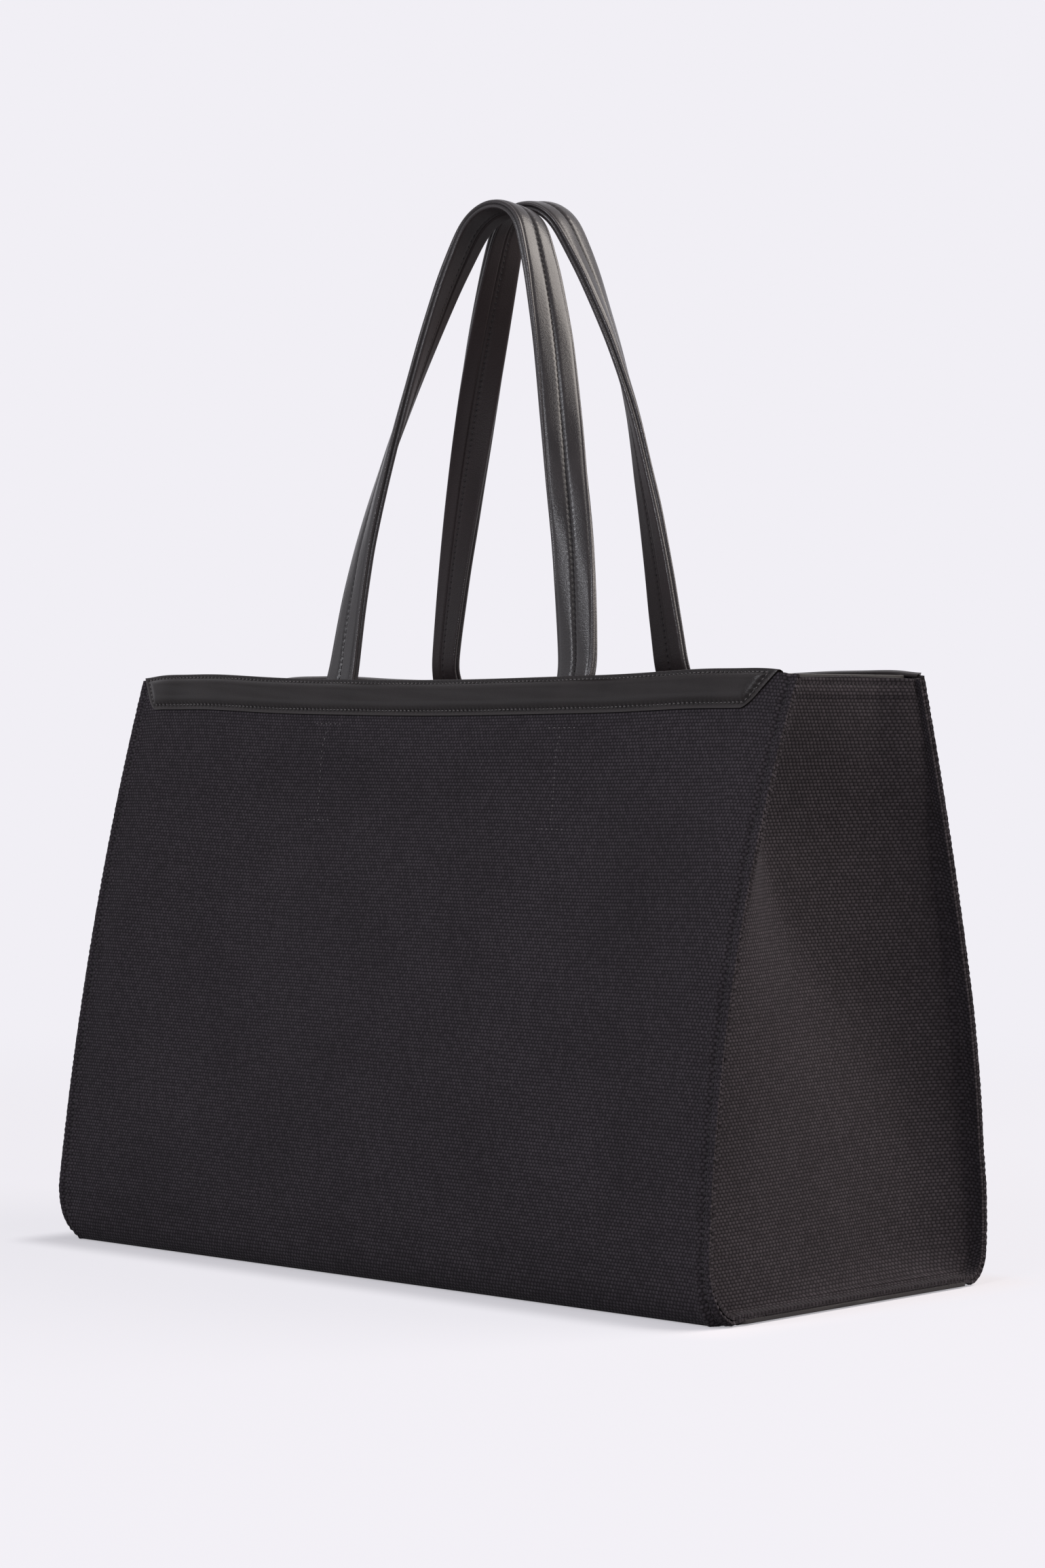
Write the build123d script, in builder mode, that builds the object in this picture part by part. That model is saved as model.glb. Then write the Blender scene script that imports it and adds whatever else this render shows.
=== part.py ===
# Canvas tote bag with leather trim: bowed canvas walls, pinched side gussets, a leather base,
# padded leather bands along the mouth and two long strap handles that twist into flat arches.
#
# Frame: +X along the bag, -Y towards its front wall, +Z up, origin under the middle of the base.
# Every wall layer follows one wall curve and one hollow, so canvas, facing, lining and trim stay parallel.

import os
from math import asin, atan2, cos, degrees, pi, radians, sin, sqrt

from build123d import *

# Driving dimensions of the bag, in millimetres and degrees
bag_length = 460.0
bag_height = 300.0
mouth_depth = 93.0
flat_base_width = 162.0
corner_radius = 27.0
corner_sweep = 95.5
side_pull_in = 4.5
gusset_dish = 11.0
flange_width = 7.0
gusset_drop = 4.0

# Hollow of each wall between its seams: where it starts, where it is full and where it ends
wall_hollow = 9.0
hollow_low = 35.0
hollow_full_low = 200.0
hollow_full_high = 225.0
hollow_middle = 95.0
hollow_side = 205.0
side_stations = (hollow_middle, 150.0, 210.0)
lower_levels = (80.0, 125.0, 170.0)
upper_levels = (250.0,)

# Thickness of each ply, and the play between plies
canvas = 1.6
base_leather = 2.0
band_leather = 1.2
facing_leather = 1.2
lining_cloth = 0.6
board_thickness = 2.0
ply_gap = 0.1

# Mouth band: its cap over the rim, its padded ridge and its mitred ends
band_height = 18.5
band_cap = 1.4
band_margin = 3.6
band_ridge = 1.4
band_end_inset = 8.0
band_mitre = 14.0
band_corner = 4.0

# Inside and base
facing_height = 86.0
facing_rise = 1.5
base_overlap = 7.0
base_corner = 3.0
lap_width = 11.0
board_play = 0.5

# Strap: two leather plies over a filler, the outer ply stitched down along its middle
strap_width = 21.0
strap_lobe = 2.6
strap_valley = 1.5
strap_back = 2.6
strap_parting = 1.0
strap_filler_width = 9.0
strap_edge_round = 1.0
lobe_place = 0.68
lobe_shoulder = 2.3
strap_end_length = 76.0
strap_end_rise = 1.8

# Handle: leg arcs into a crown arc, turned a quarter from the foot to the crown
leg_radius = 848.0
leg_lean_foot = 7.0
leg_lean_crown = 23.0
crown_radius = 23.4
foot_rise = 4.0
foot_play = 2.4
foot_twist = 6.0
twist_ease = 0.06
front_bow = 2.0
back_bow = 5.0
handles_meet_y = 8.0
handles_gap = 1.0
strap_sections = 33

# The wall curve in the half section: a bottom corner arc, then one long arc up to the rim
half_length = bag_length / 2
half_base = flat_base_width / 2
canvas_top = bag_height - band_cap
corner_centre = Vector(half_base, base_leather + corner_radius)
corner_angle = corner_sweep - 90
corner_out = Vector(cos(radians(corner_angle)), sin(radians(corner_angle)))
corner_end = corner_centre + corner_out * corner_radius
wall_top = Vector(mouth_depth / 2, canvas_top)
wall_chord = wall_top - corner_end
wall_radius = -wall_chord.dot(wall_chord) / (2 * wall_chord.dot(corner_out))
wall_centre = corner_end - corner_out * wall_radius
rim_angle = degrees(atan2(wall_top.Y - wall_centre.Y, wall_top.X - wall_centre.X))
rim_up = Vector(-sin(radians(rim_angle)), cos(radians(rim_angle)))

# Depths of the plies below the canvas face, and edges of the pieces inside the gussets
flange_depth = 2 * canvas
ply_face = canvas + ply_gap
facing_face = ply_face + facing_leather
strap_face = facing_face + ply_gap
strap_thickness = strap_lobe + strap_back
gusset_edge = half_length - flange_width
inside_edge = gusset_edge - canvas - ply_gap
facing_bottom = canvas_top - facing_height
band_bottom = canvas_top - band_height
strap_end_bottom = canvas_top - strap_end_length
gusset_top = canvas_top - gusset_drop
lower_wall = (corner_end.Y, *lower_levels, facing_bottom)
upper_wall = (facing_bottom, *upper_levels, band_bottom, canvas_top)
whole_wall = (*lower_wall, *upper_wall[1:])
seam_wall = (*whole_wall[:-1], gusset_top)
band_tip = half_length - band_end_inset
reach = bag_length


# Angle on the wall curve at a height, for a layer this deep below the canvas face
def wall_angle(height, depth=0.0):
    return degrees(asin((height - wall_centre.Y) / (wall_radius - depth)))


# Point of the half section at an angle of the wall curve, this deep below the canvas face
def wall_point(depth, angle):
    turn = radians(angle)
    return wall_centre + Vector(cos(turn), sin(turn)) * (wall_radius - depth)


# Eases a share in and out between 0 and 1
def smooth(share):
    part = min(max(share, 0.0), 1.0)
    return part * part * (3 - 2 * part)


# Point of the half section at a height and a distance from the middle of the bag, with its hollow
def hollow_point(depth, height, distance):
    rising = smooth((height - hollow_low) / (hollow_full_low - hollow_low))
    falling = smooth((band_bottom - height) / (band_bottom - hollow_full_high))
    fading = smooth((hollow_side - distance) / (hollow_side - hollow_middle))
    return wall_point(depth + wall_hollow * rising * falling * fading, wall_angle(height))


# Point at any height of a wall layer, which runs straight from one level of the wall to the next
def layer_point(depth, height, distance):
    below = max(level for level in whole_wall[:-1] if level <= height)
    above = min(level for level in whole_wall if level > below)
    low = hollow_point(depth, below, distance)
    high = hollow_point(depth, above, distance)
    return low + (high - low) * ((height - below) / (above - below))


# Section of a hollowed wall layer between two depths, through the given heights
def hollow_strip(outer, inner, heights, distance):
    outside = [layer_point(outer, height, distance) for height in heights]
    inside = [layer_point(inner, height, distance) for height in reversed(heights)]
    with BuildLine() as outline:
        Polyline(*outside, *inside, close=True)
    make_face(outline.edges())


# Lofts a hollowed wall layer between two depths from one side of the bag to the other
def loft_wall(outer, inner, heights):
    stations = (*side_stations, half_length)
    sections = []
    for distance in (*(-station for station in reversed(stations)), *stations):
        with BuildSketch(Plane.YZ.offset(distance)) as section:
            hollow_strip(outer, inner, heights, abs(distance))
        sections.append(section.sketch)
    loft(sections, ruled=True)


# Strip of the wall between two depths and two angles
def wall_strip(outer, inner, low, high):
    with BuildLine() as outline:
        CenterArc(wall_centre, wall_radius - outer, low, high - low)
        CenterArc(wall_centre, wall_radius - inner, low, high - low)
        Line(wall_point(outer, low), wall_point(inner, low))
        Line(wall_point(outer, high), wall_point(inner, high))
    make_face(outline.edges())


# Strip round the bottom corner between two depths
def corner_strip(outer, inner):
    with BuildLine() as outline:
        CenterArc(corner_centre, corner_radius - outer, -90, corner_sweep)
        CenterArc(corner_centre, corner_radius - inner, -90, corner_sweep)
        Line((half_base, base_leather + outer), (half_base, base_leather + inner))
        Line(
            corner_centre + corner_out * (corner_radius - outer),
            corner_centre + corner_out * (corner_radius - inner),
        )
    make_face(outline.edges())


# Flat strip of the base between two depths and two distances from the middle
def base_strip(outer, inner, near, far):
    with Locations(((near + far) / 2, base_leather + (outer + inner) / 2)):
        Rectangle(far - near, inner - outer)


# Ridge that swells from one depth of the wall to another between two angles
def wall_ridge(depth, peak, low, high, mode=Mode.ADD):
    with BuildLine() as outline:
        CenterArc(wall_centre, wall_radius - depth, low, high - low)
        ThreePointArc(
            wall_point(depth, low),
            wall_point(peak, (low + high) / 2),
            wall_point(depth, high),
        )
    make_face(outline.edges(), mode=mode)


# Everything inside the side seams at a depth, from the base up through the given heights
def whole_inside(depth, heights):
    floor = base_leather + depth
    seam = [layer_point(depth, height, half_length) for height in heights]
    with BuildLine() as outline:
        Line((0, floor), (half_base, floor))
        CenterArc(corner_centre, corner_radius - depth, -90, corner_sweep)
        Polyline(*seam, (0, seam[-1].Y), (0, floor))
    make_face(outline.edges())
    mirror(about=Plane.YZ)


# Everything inside the walls at a depth, between two heights of the wall
def upper_inside(depth, bottom, top):
    low = wall_angle(bottom, depth)
    high = wall_angle(top, depth)
    with BuildLine() as outline:
        CenterArc(wall_centre, wall_radius - depth, low, high - low)
        Polyline(wall_point(depth, high), (0, top), (0, bottom), wall_point(depth, low))
    make_face(outline.edges())
    mirror(about=Plane.YZ)


# Side curve of the front view, pulled in half way up
def side_curve(edge, dish):
    ThreePointArc((edge, 0), (edge - dish, bag_height / 2), (edge, bag_height))


# Upright band of the front view between two side curves
def side_band(outer_edge, outer_dish, inner_edge, inner_dish):
    with BuildLine() as outline:
        side_curve(outer_edge, outer_dish)
        side_curve(inner_edge, inner_dish)
        Line((inner_edge, 0), (outer_edge, 0))
        Line((inner_edge, bag_height), (outer_edge, bag_height))
    make_face(outline.edges())


# Cuts the open part to side edges that are pulled in half way up
def trim_sides(edge, dish):
    with BuildSketch(Plane.XZ) as outline:
        side_band(edge, dish, -edge, -dish)
    extrude(outline.sketch, amount=reach, both=True, mode=Mode.INTERSECT)


# Cuts the open part to ends that slant outwards to the rim, with rounded lower corners
def trim_mitres():
    low = band_bottom - band_cap
    with BuildSketch(Plane.XZ) as outline:
        with BuildLine() as edges:
            Polyline(
                (-band_tip + band_mitre, low),
                (band_tip - band_mitre, low),
                (band_tip, bag_height + band_cap),
                (-band_tip, bag_height + band_cap),
                close=True,
            )
        make_face(edges.edges())
        fillet(outline.vertices().group_by(Axis.Y)[0], band_corner)
    extrude(outline.sketch, amount=reach, both=True, mode=Mode.INTERSECT)


# Canvas walls: a lap over the leather base, the bottom corner, then the bowed and hollowed face
with BuildPart() as back_panel:
    with BuildSketch(Plane.YZ):
        base_strip(0, canvas, half_base - lap_width, half_base)
        corner_strip(0, canvas)
    extrude(amount=half_length, both=True)
    loft_wall(0, canvas, whole_wall)
    trim_sides(half_length, side_pull_in)

with BuildPart() as front_panel:
    mirror(back_panel.part, about=Plane.XZ)

# Gussets: a dished canvas web whose edge turns out into a flange along both walls and the base
with BuildPart() as gusset_web:
    with BuildSketch(Plane.XZ):
        side_band(gusset_edge, gusset_dish, gusset_edge - canvas, gusset_dish)
    extrude(amount=reach, both=True)
    with BuildSketch(Plane.YZ):
        whole_inside(canvas, seam_wall)
    extrude(amount=reach, both=True, mode=Mode.INTERSECT)

with BuildPart() as right_gusset:
    with BuildSketch(Plane.YZ):
        base_strip(0, canvas, 0, half_base - lap_width)
        base_strip(canvas, flange_depth, 0, half_base)
        corner_strip(canvas, flange_depth)
        hollow_strip(canvas, flange_depth, seam_wall, half_length)
        mirror(about=Plane.YZ)
    extrude(amount=half_length)
    with BuildSketch(Plane.XZ):
        side_band(half_length, side_pull_in, gusset_edge - canvas, gusset_dish)
    extrude(amount=reach, both=True, mode=Mode.INTERSECT)
    add(gusset_web.part)

with BuildPart() as left_gusset:
    mirror(right_gusset.part, about=Plane.YZ)

# Base: a leather plate with turned edges outside, a stiff board laid on it inside
with BuildPart() as base_panel:
    with BuildSketch():
        RectangleRounded(bag_length, flat_base_width + 2 * base_overlap, base_corner)
    extrude(amount=base_leather)
    chamfer(base_panel.faces().sort_by(Axis.Z)[0].edges(), base_leather / 3)

with BuildPart() as base_board:
    with BuildSketch(Plane.XY.offset(base_leather)):
        Rectangle(2 * (inside_edge - board_play), flat_base_width - 2 * (lap_width + board_play))
    extrude(amount=board_thickness)

# Mouth bands: leather from below the rim up over its top, swelling over a filler strip
band_low = wall_angle(band_bottom)
ridge_low = wall_angle(band_bottom + band_margin)
ridge_high = wall_angle(canvas_top - band_margin)
cap_angle = rim_angle + degrees(band_cap / wall_radius)

with BuildPart() as back_top_band:
    with BuildSketch(Plane.YZ):
        wall_strip(-band_leather, 0, band_low, rim_angle)
        wall_strip(-band_leather, facing_face, rim_angle, cap_angle)
        wall_ridge(-band_leather, -band_leather - band_ridge, ridge_low, ridge_high)
        wall_ridge(0, -band_ridge, ridge_low, ridge_high, Mode.SUBTRACT)
    extrude(amount=half_length, both=True)
    trim_mitres()

with BuildPart() as front_top_band:
    mirror(back_top_band.part, about=Plane.XZ)

with BuildPart() as back_band_filler:
    with BuildSketch(Plane.YZ):
        wall_ridge(0, ply_gap - band_ridge, ridge_low, ridge_high)
    extrude(amount=band_tip - 2 * band_mitre, both=True)

with BuildPart() as front_band_filler:
    mirror(back_band_filler.part, about=Plane.XZ)

# Facings: leather inside the mouth, on the walls and on the gussets
with BuildPart() as back_facing:
    loft_wall(ply_face, facing_face, upper_wall)
    trim_sides(inside_edge, gusset_dish)

with BuildPart() as front_facing:
    mirror(back_facing.part, about=Plane.XZ)

with BuildPart() as right_gusset_facing:
    with BuildSketch(Plane.XZ):
        side_band(inside_edge, gusset_dish, inside_edge - facing_leather, gusset_dish)
    extrude(amount=reach, both=True)
    with BuildSketch(Plane.YZ):
        upper_inside(facing_face + ply_gap, facing_bottom, gusset_top + facing_rise)
    extrude(amount=reach, both=True, mode=Mode.INTERSECT)

with BuildPart() as left_gusset_facing:
    mirror(right_gusset_facing.part, about=Plane.YZ)

# Lining: cloth below the facings, on the walls, the gussets and the base
with BuildPart() as back_lining:
    with BuildSketch(Plane.YZ):
        corner_strip(ply_face, ply_face + lining_cloth)
    extrude(amount=half_length, both=True)
    loft_wall(ply_face, ply_face + lining_cloth, lower_wall)
    trim_sides(inside_edge, gusset_dish)

with BuildPart() as front_lining:
    mirror(back_lining.part, about=Plane.XZ)

with BuildPart() as right_gusset_lining:
    with BuildSketch(Plane.XZ):
        side_band(inside_edge, gusset_dish, inside_edge - lining_cloth, gusset_dish)
    extrude(amount=reach, both=True)
    with BuildSketch(Plane.YZ):
        whole_inside(facing_face + ply_gap, lower_wall)
    extrude(amount=reach, both=True, mode=Mode.INTERSECT)

with BuildPart() as left_gusset_lining:
    mirror(right_gusset_lining.part, about=Plane.YZ)

with BuildPart() as base_lining:
    with BuildSketch(Plane.XY.offset(base_leather + board_thickness + ply_gap)):
        Rectangle(2 * (inside_edge - lining_cloth - board_play), flat_base_width - 2 * board_play)
    extrude(amount=lining_cloth)

# Half arch of a handle, measured down from the crown: sideways reach, drop and heading
crown_turn = radians(90 - leg_lean_crown)
crown_run = crown_radius * crown_turn
leg_turn = radians(leg_lean_crown - leg_lean_foot)
half_run = crown_run + leg_radius * leg_turn
crown_reach = crown_radius * sin(crown_turn)
crown_drop = crown_radius * (1 - cos(crown_turn))


def arch_point(run):
    if run <= crown_run:
        heading = run / crown_radius
        return crown_radius * sin(heading), crown_radius * (1 - cos(heading)), heading
    heading = crown_turn + (run - crown_run) / leg_radius
    sideways = crown_reach + leg_radius * (sin(heading) - sin(crown_turn))
    drop = crown_drop + leg_radius * (cos(crown_turn) - cos(heading))
    return sideways, drop, heading


foot_reach, handle_rise, foot_heading = arch_point(half_run)
foot_depth = strap_face + foot_play + strap_lobe
foot_centre = wall_point(foot_depth, rim_angle) + rim_up * foot_rise


# Plane across the strap, share -1 to 1 of the way from its left foot to its right foot
def strap_plane(side, share):
    crown_y = handles_meet_y + side * (handles_gap + strap_width) / 2
    foot_y = side * foot_centre.X
    lean = asin((crown_y - foot_y) / handle_rise)
    upward = Vector(0, sin(lean), cos(lean))
    across = Vector(0, -side * cos(lean), side * sin(lean))
    run = half_run * (abs(share) + abs(share) ** 3) / 2
    sideways, drop, heading = arch_point(run)
    facing = 1 if share >= 0 else -1
    centre = Vector(facing * sideways, foot_y, foot_centre.Y) + upward * (handle_rise - drop)
    bow = back_bow if side > 0 else front_bow
    centre -= across * bow * sin(pi * drop / handle_rise)
    outward = Vector(facing * sin(heading), 0, 0) + upward * cos(heading)
    part_way = sqrt((run / half_run) ** 2 + twist_ease**2) - twist_ease
    twist = radians(90 - (90 - foot_twist) * part_way / (sqrt(1 + twist_ease**2) - twist_ease))
    width_way = outward * cos(twist) + across * sin(twist)
    return Plane(origin=centre, x_dir=width_way, z_dir=across.cross(outward))


# Outer ply: flat underneath, two pillow lobes either side of the stitched valley
def outer_ply():
    edge = strap_width / 2
    right = [
        (edge, 0),
        (edge, strap_edge_round),
        (edge - strap_edge_round, lobe_shoulder),
        (lobe_place * edge, strap_lobe),
        (lobe_place * edge / 2, lobe_shoulder),
    ]
    left = [(-across, height) for across, height in reversed(right)]
    with BuildLine() as outline:
        Polyline(*right, (0, strap_valley), *left, close=True)
    make_face(outline.edges())


def filler_ply():
    with Locations((0, -strap_parting / 2)):
        Rectangle(strap_filler_width, strap_parting - 2 * ply_gap)


# Inner ply: a flat strip with bevelled edges
def inner_ply():
    edge = strap_width / 2
    flat = edge - strap_edge_round
    with BuildLine() as outline:
        Polyline(
            (-edge, -strap_parting),
            (edge, -strap_parting),
            (edge, strap_edge_round - strap_back),
            (flat, -strap_back),
            (-flat, -strap_back),
            (-edge, strap_edge_round - strap_back),
            close=True,
        )
    make_face(outline.edges())


# Lofts one ply of a handle from foot to foot
def loft_ply(side, draw_ply):
    sections = []
    for number in range(strap_sections):
        share = 2 * number / (strap_sections - 1) - 1
        with BuildSketch(strap_plane(side, share)) as section:
            draw_ply()
        sections.append(section.sketch)
    loft(sections, ruled=True)


with BuildPart() as front_handle_outer:
    loft_ply(-1, outer_ply)

with BuildPart() as front_handle_filler:
    loft_ply(-1, filler_ply)

with BuildPart() as front_handle_inner:
    loft_ply(-1, inner_ply)

with BuildPart() as back_handle_outer:
    loft_ply(1, outer_ply)

with BuildPart() as back_handle_filler:
    loft_ply(1, filler_ply)

with BuildPart() as back_handle_inner:
    loft_ply(1, inner_ply)

# Strap ends: sewn flat inside the mouth, on the facing, below each foot of a handle
with BuildPart() as back_handle_right_end:
    end_heights = (strap_end_bottom, *upper_levels, band_bottom, canvas_top + strap_end_rise)
    with BuildSketch(Plane.YZ.offset(foot_reach)):
        hollow_strip(strap_face, strap_face + strap_thickness, end_heights, 0)
    extrude(amount=strap_width / 2, both=True)
    lengthwise = back_handle_right_end.edges().filter_by(Axis.X, reverse=True)
    chamfer(lengthwise.filter_by(lambda edge: edge.length > 2 * strap_thickness), strap_edge_round)

with BuildPart() as back_handle_left_end:
    mirror(back_handle_right_end.part, about=Plane.YZ)

with BuildPart() as front_handle_right_end:
    mirror(back_handle_right_end.part, about=Plane.XZ)

with BuildPart() as front_handle_left_end:
    mirror(back_handle_left_end.part, about=Plane.XZ)

# Each finished piece is labelled and written to its own file
pieces = {
    "front_panel": front_panel,
    "back_panel": back_panel,
    "left_gusset": left_gusset,
    "right_gusset": right_gusset,
    "base_panel": base_panel,
    "base_board": base_board,
    "front_top_band": front_top_band,
    "back_top_band": back_top_band,
    "front_band_filler": front_band_filler,
    "back_band_filler": back_band_filler,
    "front_facing": front_facing,
    "back_facing": back_facing,
    "left_gusset_facing": left_gusset_facing,
    "right_gusset_facing": right_gusset_facing,
    "front_lining": front_lining,
    "back_lining": back_lining,
    "left_gusset_lining": left_gusset_lining,
    "right_gusset_lining": right_gusset_lining,
    "base_lining": base_lining,
    "front_handle_outer": front_handle_outer,
    "front_handle_filler": front_handle_filler,
    "front_handle_inner": front_handle_inner,
    "back_handle_outer": back_handle_outer,
    "back_handle_filler": back_handle_filler,
    "back_handle_inner": back_handle_inner,
    "front_handle_left_end": front_handle_left_end,
    "front_handle_right_end": front_handle_right_end,
    "back_handle_left_end": back_handle_left_end,
    "back_handle_right_end": back_handle_right_end,
}
os.makedirs("parts", exist_ok=True)
for name, piece in pieces.items():
    piece.part.label = name
    export_step(piece.part, f"parts/{name}.step")

print("pieces", len(pieces), "handle foot reach", round(foot_reach, 2), "rise", round(handle_rise, 2))
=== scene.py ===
import math

import bpy
import numpy as np
from mathutils import Matrix, Vector


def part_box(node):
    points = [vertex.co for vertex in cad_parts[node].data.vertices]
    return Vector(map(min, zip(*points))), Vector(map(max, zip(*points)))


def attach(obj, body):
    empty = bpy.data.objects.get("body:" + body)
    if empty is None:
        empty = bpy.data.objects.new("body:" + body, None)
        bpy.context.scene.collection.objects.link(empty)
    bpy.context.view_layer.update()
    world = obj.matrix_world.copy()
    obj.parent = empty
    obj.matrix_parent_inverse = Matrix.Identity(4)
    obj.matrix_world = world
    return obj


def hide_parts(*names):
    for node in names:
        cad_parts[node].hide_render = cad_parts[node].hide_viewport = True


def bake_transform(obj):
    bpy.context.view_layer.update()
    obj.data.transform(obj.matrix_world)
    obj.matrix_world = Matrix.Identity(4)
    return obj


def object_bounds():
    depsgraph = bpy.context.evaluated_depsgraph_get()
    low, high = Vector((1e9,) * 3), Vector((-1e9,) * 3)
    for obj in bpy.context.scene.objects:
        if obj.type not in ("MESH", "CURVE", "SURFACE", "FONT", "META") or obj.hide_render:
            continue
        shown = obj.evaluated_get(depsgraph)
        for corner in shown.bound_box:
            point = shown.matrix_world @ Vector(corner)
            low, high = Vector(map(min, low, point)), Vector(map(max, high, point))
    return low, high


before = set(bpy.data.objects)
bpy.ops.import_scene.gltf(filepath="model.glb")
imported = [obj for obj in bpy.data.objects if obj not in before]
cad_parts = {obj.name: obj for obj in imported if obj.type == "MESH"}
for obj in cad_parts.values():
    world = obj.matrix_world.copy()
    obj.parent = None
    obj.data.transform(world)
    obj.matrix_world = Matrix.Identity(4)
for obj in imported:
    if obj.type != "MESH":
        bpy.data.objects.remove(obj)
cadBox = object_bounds()
mm = 0.001  # settings are in millimetres, meshes in metres
print("frame loaded:", len(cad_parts), "nodes")

# The wall curve that every layer of the bag follows
wall = {
    "baseWidth": 162.0,
    "mouthDepth": 93.0,
    "cornerRadius": 27.0,
    "cornerSweep": 95.5,
    "lap": 11.0,  # canvas turned under, on the base leather
    "pullIn": 4.5,  # side edges draw in half way up
    "height": 300.0,
    "hollow": 9.0,  # of the wall between its seams
    "hollowLow": 35.0,
    "hollowFull": (200.0, 225.0),
    "hollowTop": 280.1,
    "hollowMiddle": 95.0,
    "hollowSide": 205.0,
    "rimHollow": 2.0,
    "footBackIn": 6.0,  # the back wall stands straighter than the front one
    "footBackAt": (24.0, 22.0),  # each "At" is a middle and a spread
    "lowBackIn": 2.8,
    "lowBackAt": (62.0, 24.0),
    "highBackOut": 2.0,
    "highBackFrom": (85.0, 60.0),  # each "From" is a start and a length
    "backDepth": 42.0,
    "roll": 1.5,  # swelling beside each seam
    "rollAt": (21.0, 13.0),
    "rollFrom": (30.0, 70.0),
    "wave": 0.55,
    "waveFrom": (30.0, 60.0),
    "waveInFrom": (8.0, 60.0),
    "rimLift": 1.7,
    "rimLiftAt": (178.0, 42.0),
    "rimSag": 1.5,
    "rimSagAt": (0.0, 95.0),
    "rimDrop": 0.5,  # corners sit lower than the band
    "rimDropFrom": (212.0, 18.0),
    "rimReach": 70.0,
    "sag": 6.5,  # of the bottom roll, down to the floor between the seams
    "sagStart": 14.5,
    "sagFull": (23.0, 26.0),
    "sagEnd": 50.0,
    "sagInFrom": (-9.0, 20.0),
    "ground": 0.3,
}
ply = {"canvas": 1.6, "base": 2.0, "band": 1.2, "facing": 1.2, "lining": 0.6, "gap": 0.1}
walls = {"front": -1, "back": 1}
ends = {"left": -1, "right": 1}

panelLow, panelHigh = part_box("back_panel")
halfLength = panelHigh.x / mm
canvasTop = panelHigh.z / mm
halfBase = wall["baseWidth"] / 2
cornerTurn = math.radians(wall["cornerSweep"] - 90)
cornerY, cornerZ = halfBase, ply["base"] + wall["cornerRadius"]
bendY = cornerY + wall["cornerRadius"] * math.cos(cornerTurn)
bendZ = cornerZ + wall["cornerRadius"] * math.sin(cornerTurn)
chordY, chordZ = wall["mouthDepth"] / 2 - bendY, canvasTop - bendZ
chordAlong = chordY * math.cos(cornerTurn) + chordZ * math.sin(cornerTurn)
wallRadius = -(chordY**2 + chordZ**2) / (2 * chordAlong)
wallY = bendY - wallRadius * math.cos(cornerTurn)
wallZ = bendZ - wallRadius * math.sin(cornerTurn)
cornerEnd = wall["lap"] + wall["cornerRadius"] * math.radians(wall["cornerSweep"])


def ease(value):
    part = np.clip(value, 0, 1)
    return part * part * (3 - 2 * part)


def hump(value, middle, spread):
    return np.exp(-(((value - middle) / spread) ** 2))


# From 0 at a start to 1 at the end of a length
def climb(value, start, length):
    return ease((value - start) / length)


# Reach, height and outward normal of the wall at a run from the edge of its lap
def wallLine(run):
    onLap, onCorner = run < wall["lap"], run < cornerEnd
    turn = -math.pi / 2 + (np.maximum(run, wall["lap"]) - wall["lap"]) / wall["cornerRadius"]
    angle = np.where(onCorner, turn, cornerTurn + (run - cornerEnd) / wallRadius)
    radius = np.where(onCorner, wall["cornerRadius"], wallRadius)
    reach = np.where(onCorner, cornerY, wallY) + radius * np.cos(angle)
    height = np.where(onCorner, cornerZ, wallZ) + radius * np.sin(angle)
    reach = np.where(onLap, halfBase - wall["lap"] + run, reach)
    return reach, height, np.cos(angle), np.sin(angle)


def runAt(height):
    return cornerEnd + wallRadius * (np.arcsin((height - wallZ) / wallRadius) - cornerTurn)


rimRun = float(runAt(canvasTop))
lineRuns = np.linspace(wall["lap"], rimRun, 800)
lineReach, lineHeight = wallLine(lineRuns)[:2]


def halfDepth(height):
    return np.interp(height, lineHeight, lineReach)


def halfSide(height):
    middle = wall["height"] / 2
    return halfLength - wall["pullIn"] * (1 - ((height - middle) / middle) ** 2)


# The bottom roll sinks to the floor, less so at the seams
def sagAt(run, edge):
    first, last = wall["sagFull"]
    share = climb(run, wall["sagStart"], first - wall["sagStart"])
    share = share * (1 - climb(run, last, wall["sagEnd"] - last))
    return wall["sag"] * share * climb(edge, *wall["sagInFrom"])


# How far the soft wall stands off its drawn curve
def swell(side, x, run):
    height = wallLine(run)[1]
    edge = halfSide(height) - np.abs(x)
    lowFull, highFull = wall["hollowFull"]
    rising = climb(height, wall["hollowLow"], lowFull - wall["hollowLow"])
    falling = ease((wall["hollowTop"] - height) / (wall["hollowTop"] - highFull))
    hollow = np.maximum(wall["hollow"] * falling, wall["rimHollow"]) * rising
    fading = ease((wall["hollowSide"] - np.abs(x)) / (wall["hollowSide"] - wall["hollowMiddle"]))
    roll = wall["roll"] * hump(edge, *wall["rollAt"]) * climb(height, *wall["rollFrom"])
    wander = x / 47 + 0.7 * np.sin(height / 52 + side)  # lengths that never fall in step
    waves = wall["wave"] * (np.sin(wander) + 0.6 * np.sin(height / 31 + x / 83 - side))
    waves = waves * climb(edge, *wall["waveInFrom"]) * climb(height, *wall["waveFrom"])
    return roll + sagAt(run, edge) - hollow * fading + waves


# How far points behind the middle are moved backwards
def backShift(y, height):
    low = wall["footBackIn"] * hump(height, *wall["footBackAt"])
    low = low + wall["lowBackIn"] * hump(height, *wall["lowBackAt"])
    high = wall["highBackOut"] * climb(height, *wall["highBackFrom"])
    return (high - low) * ease(y / wall["backDepth"])


def rimRise(x, run):
    lift = wall["rimLift"] * hump(np.abs(x), *wall["rimLiftAt"])
    lift = lift - wall["rimSag"] * hump(x, *wall["rimSagAt"])
    lift = lift - wall["rimDrop"] * climb(np.abs(x), *wall["rimDropFrom"])
    return lift * ease((run - rimRun + wall["rimReach"]) / wall["rimReach"])


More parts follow.
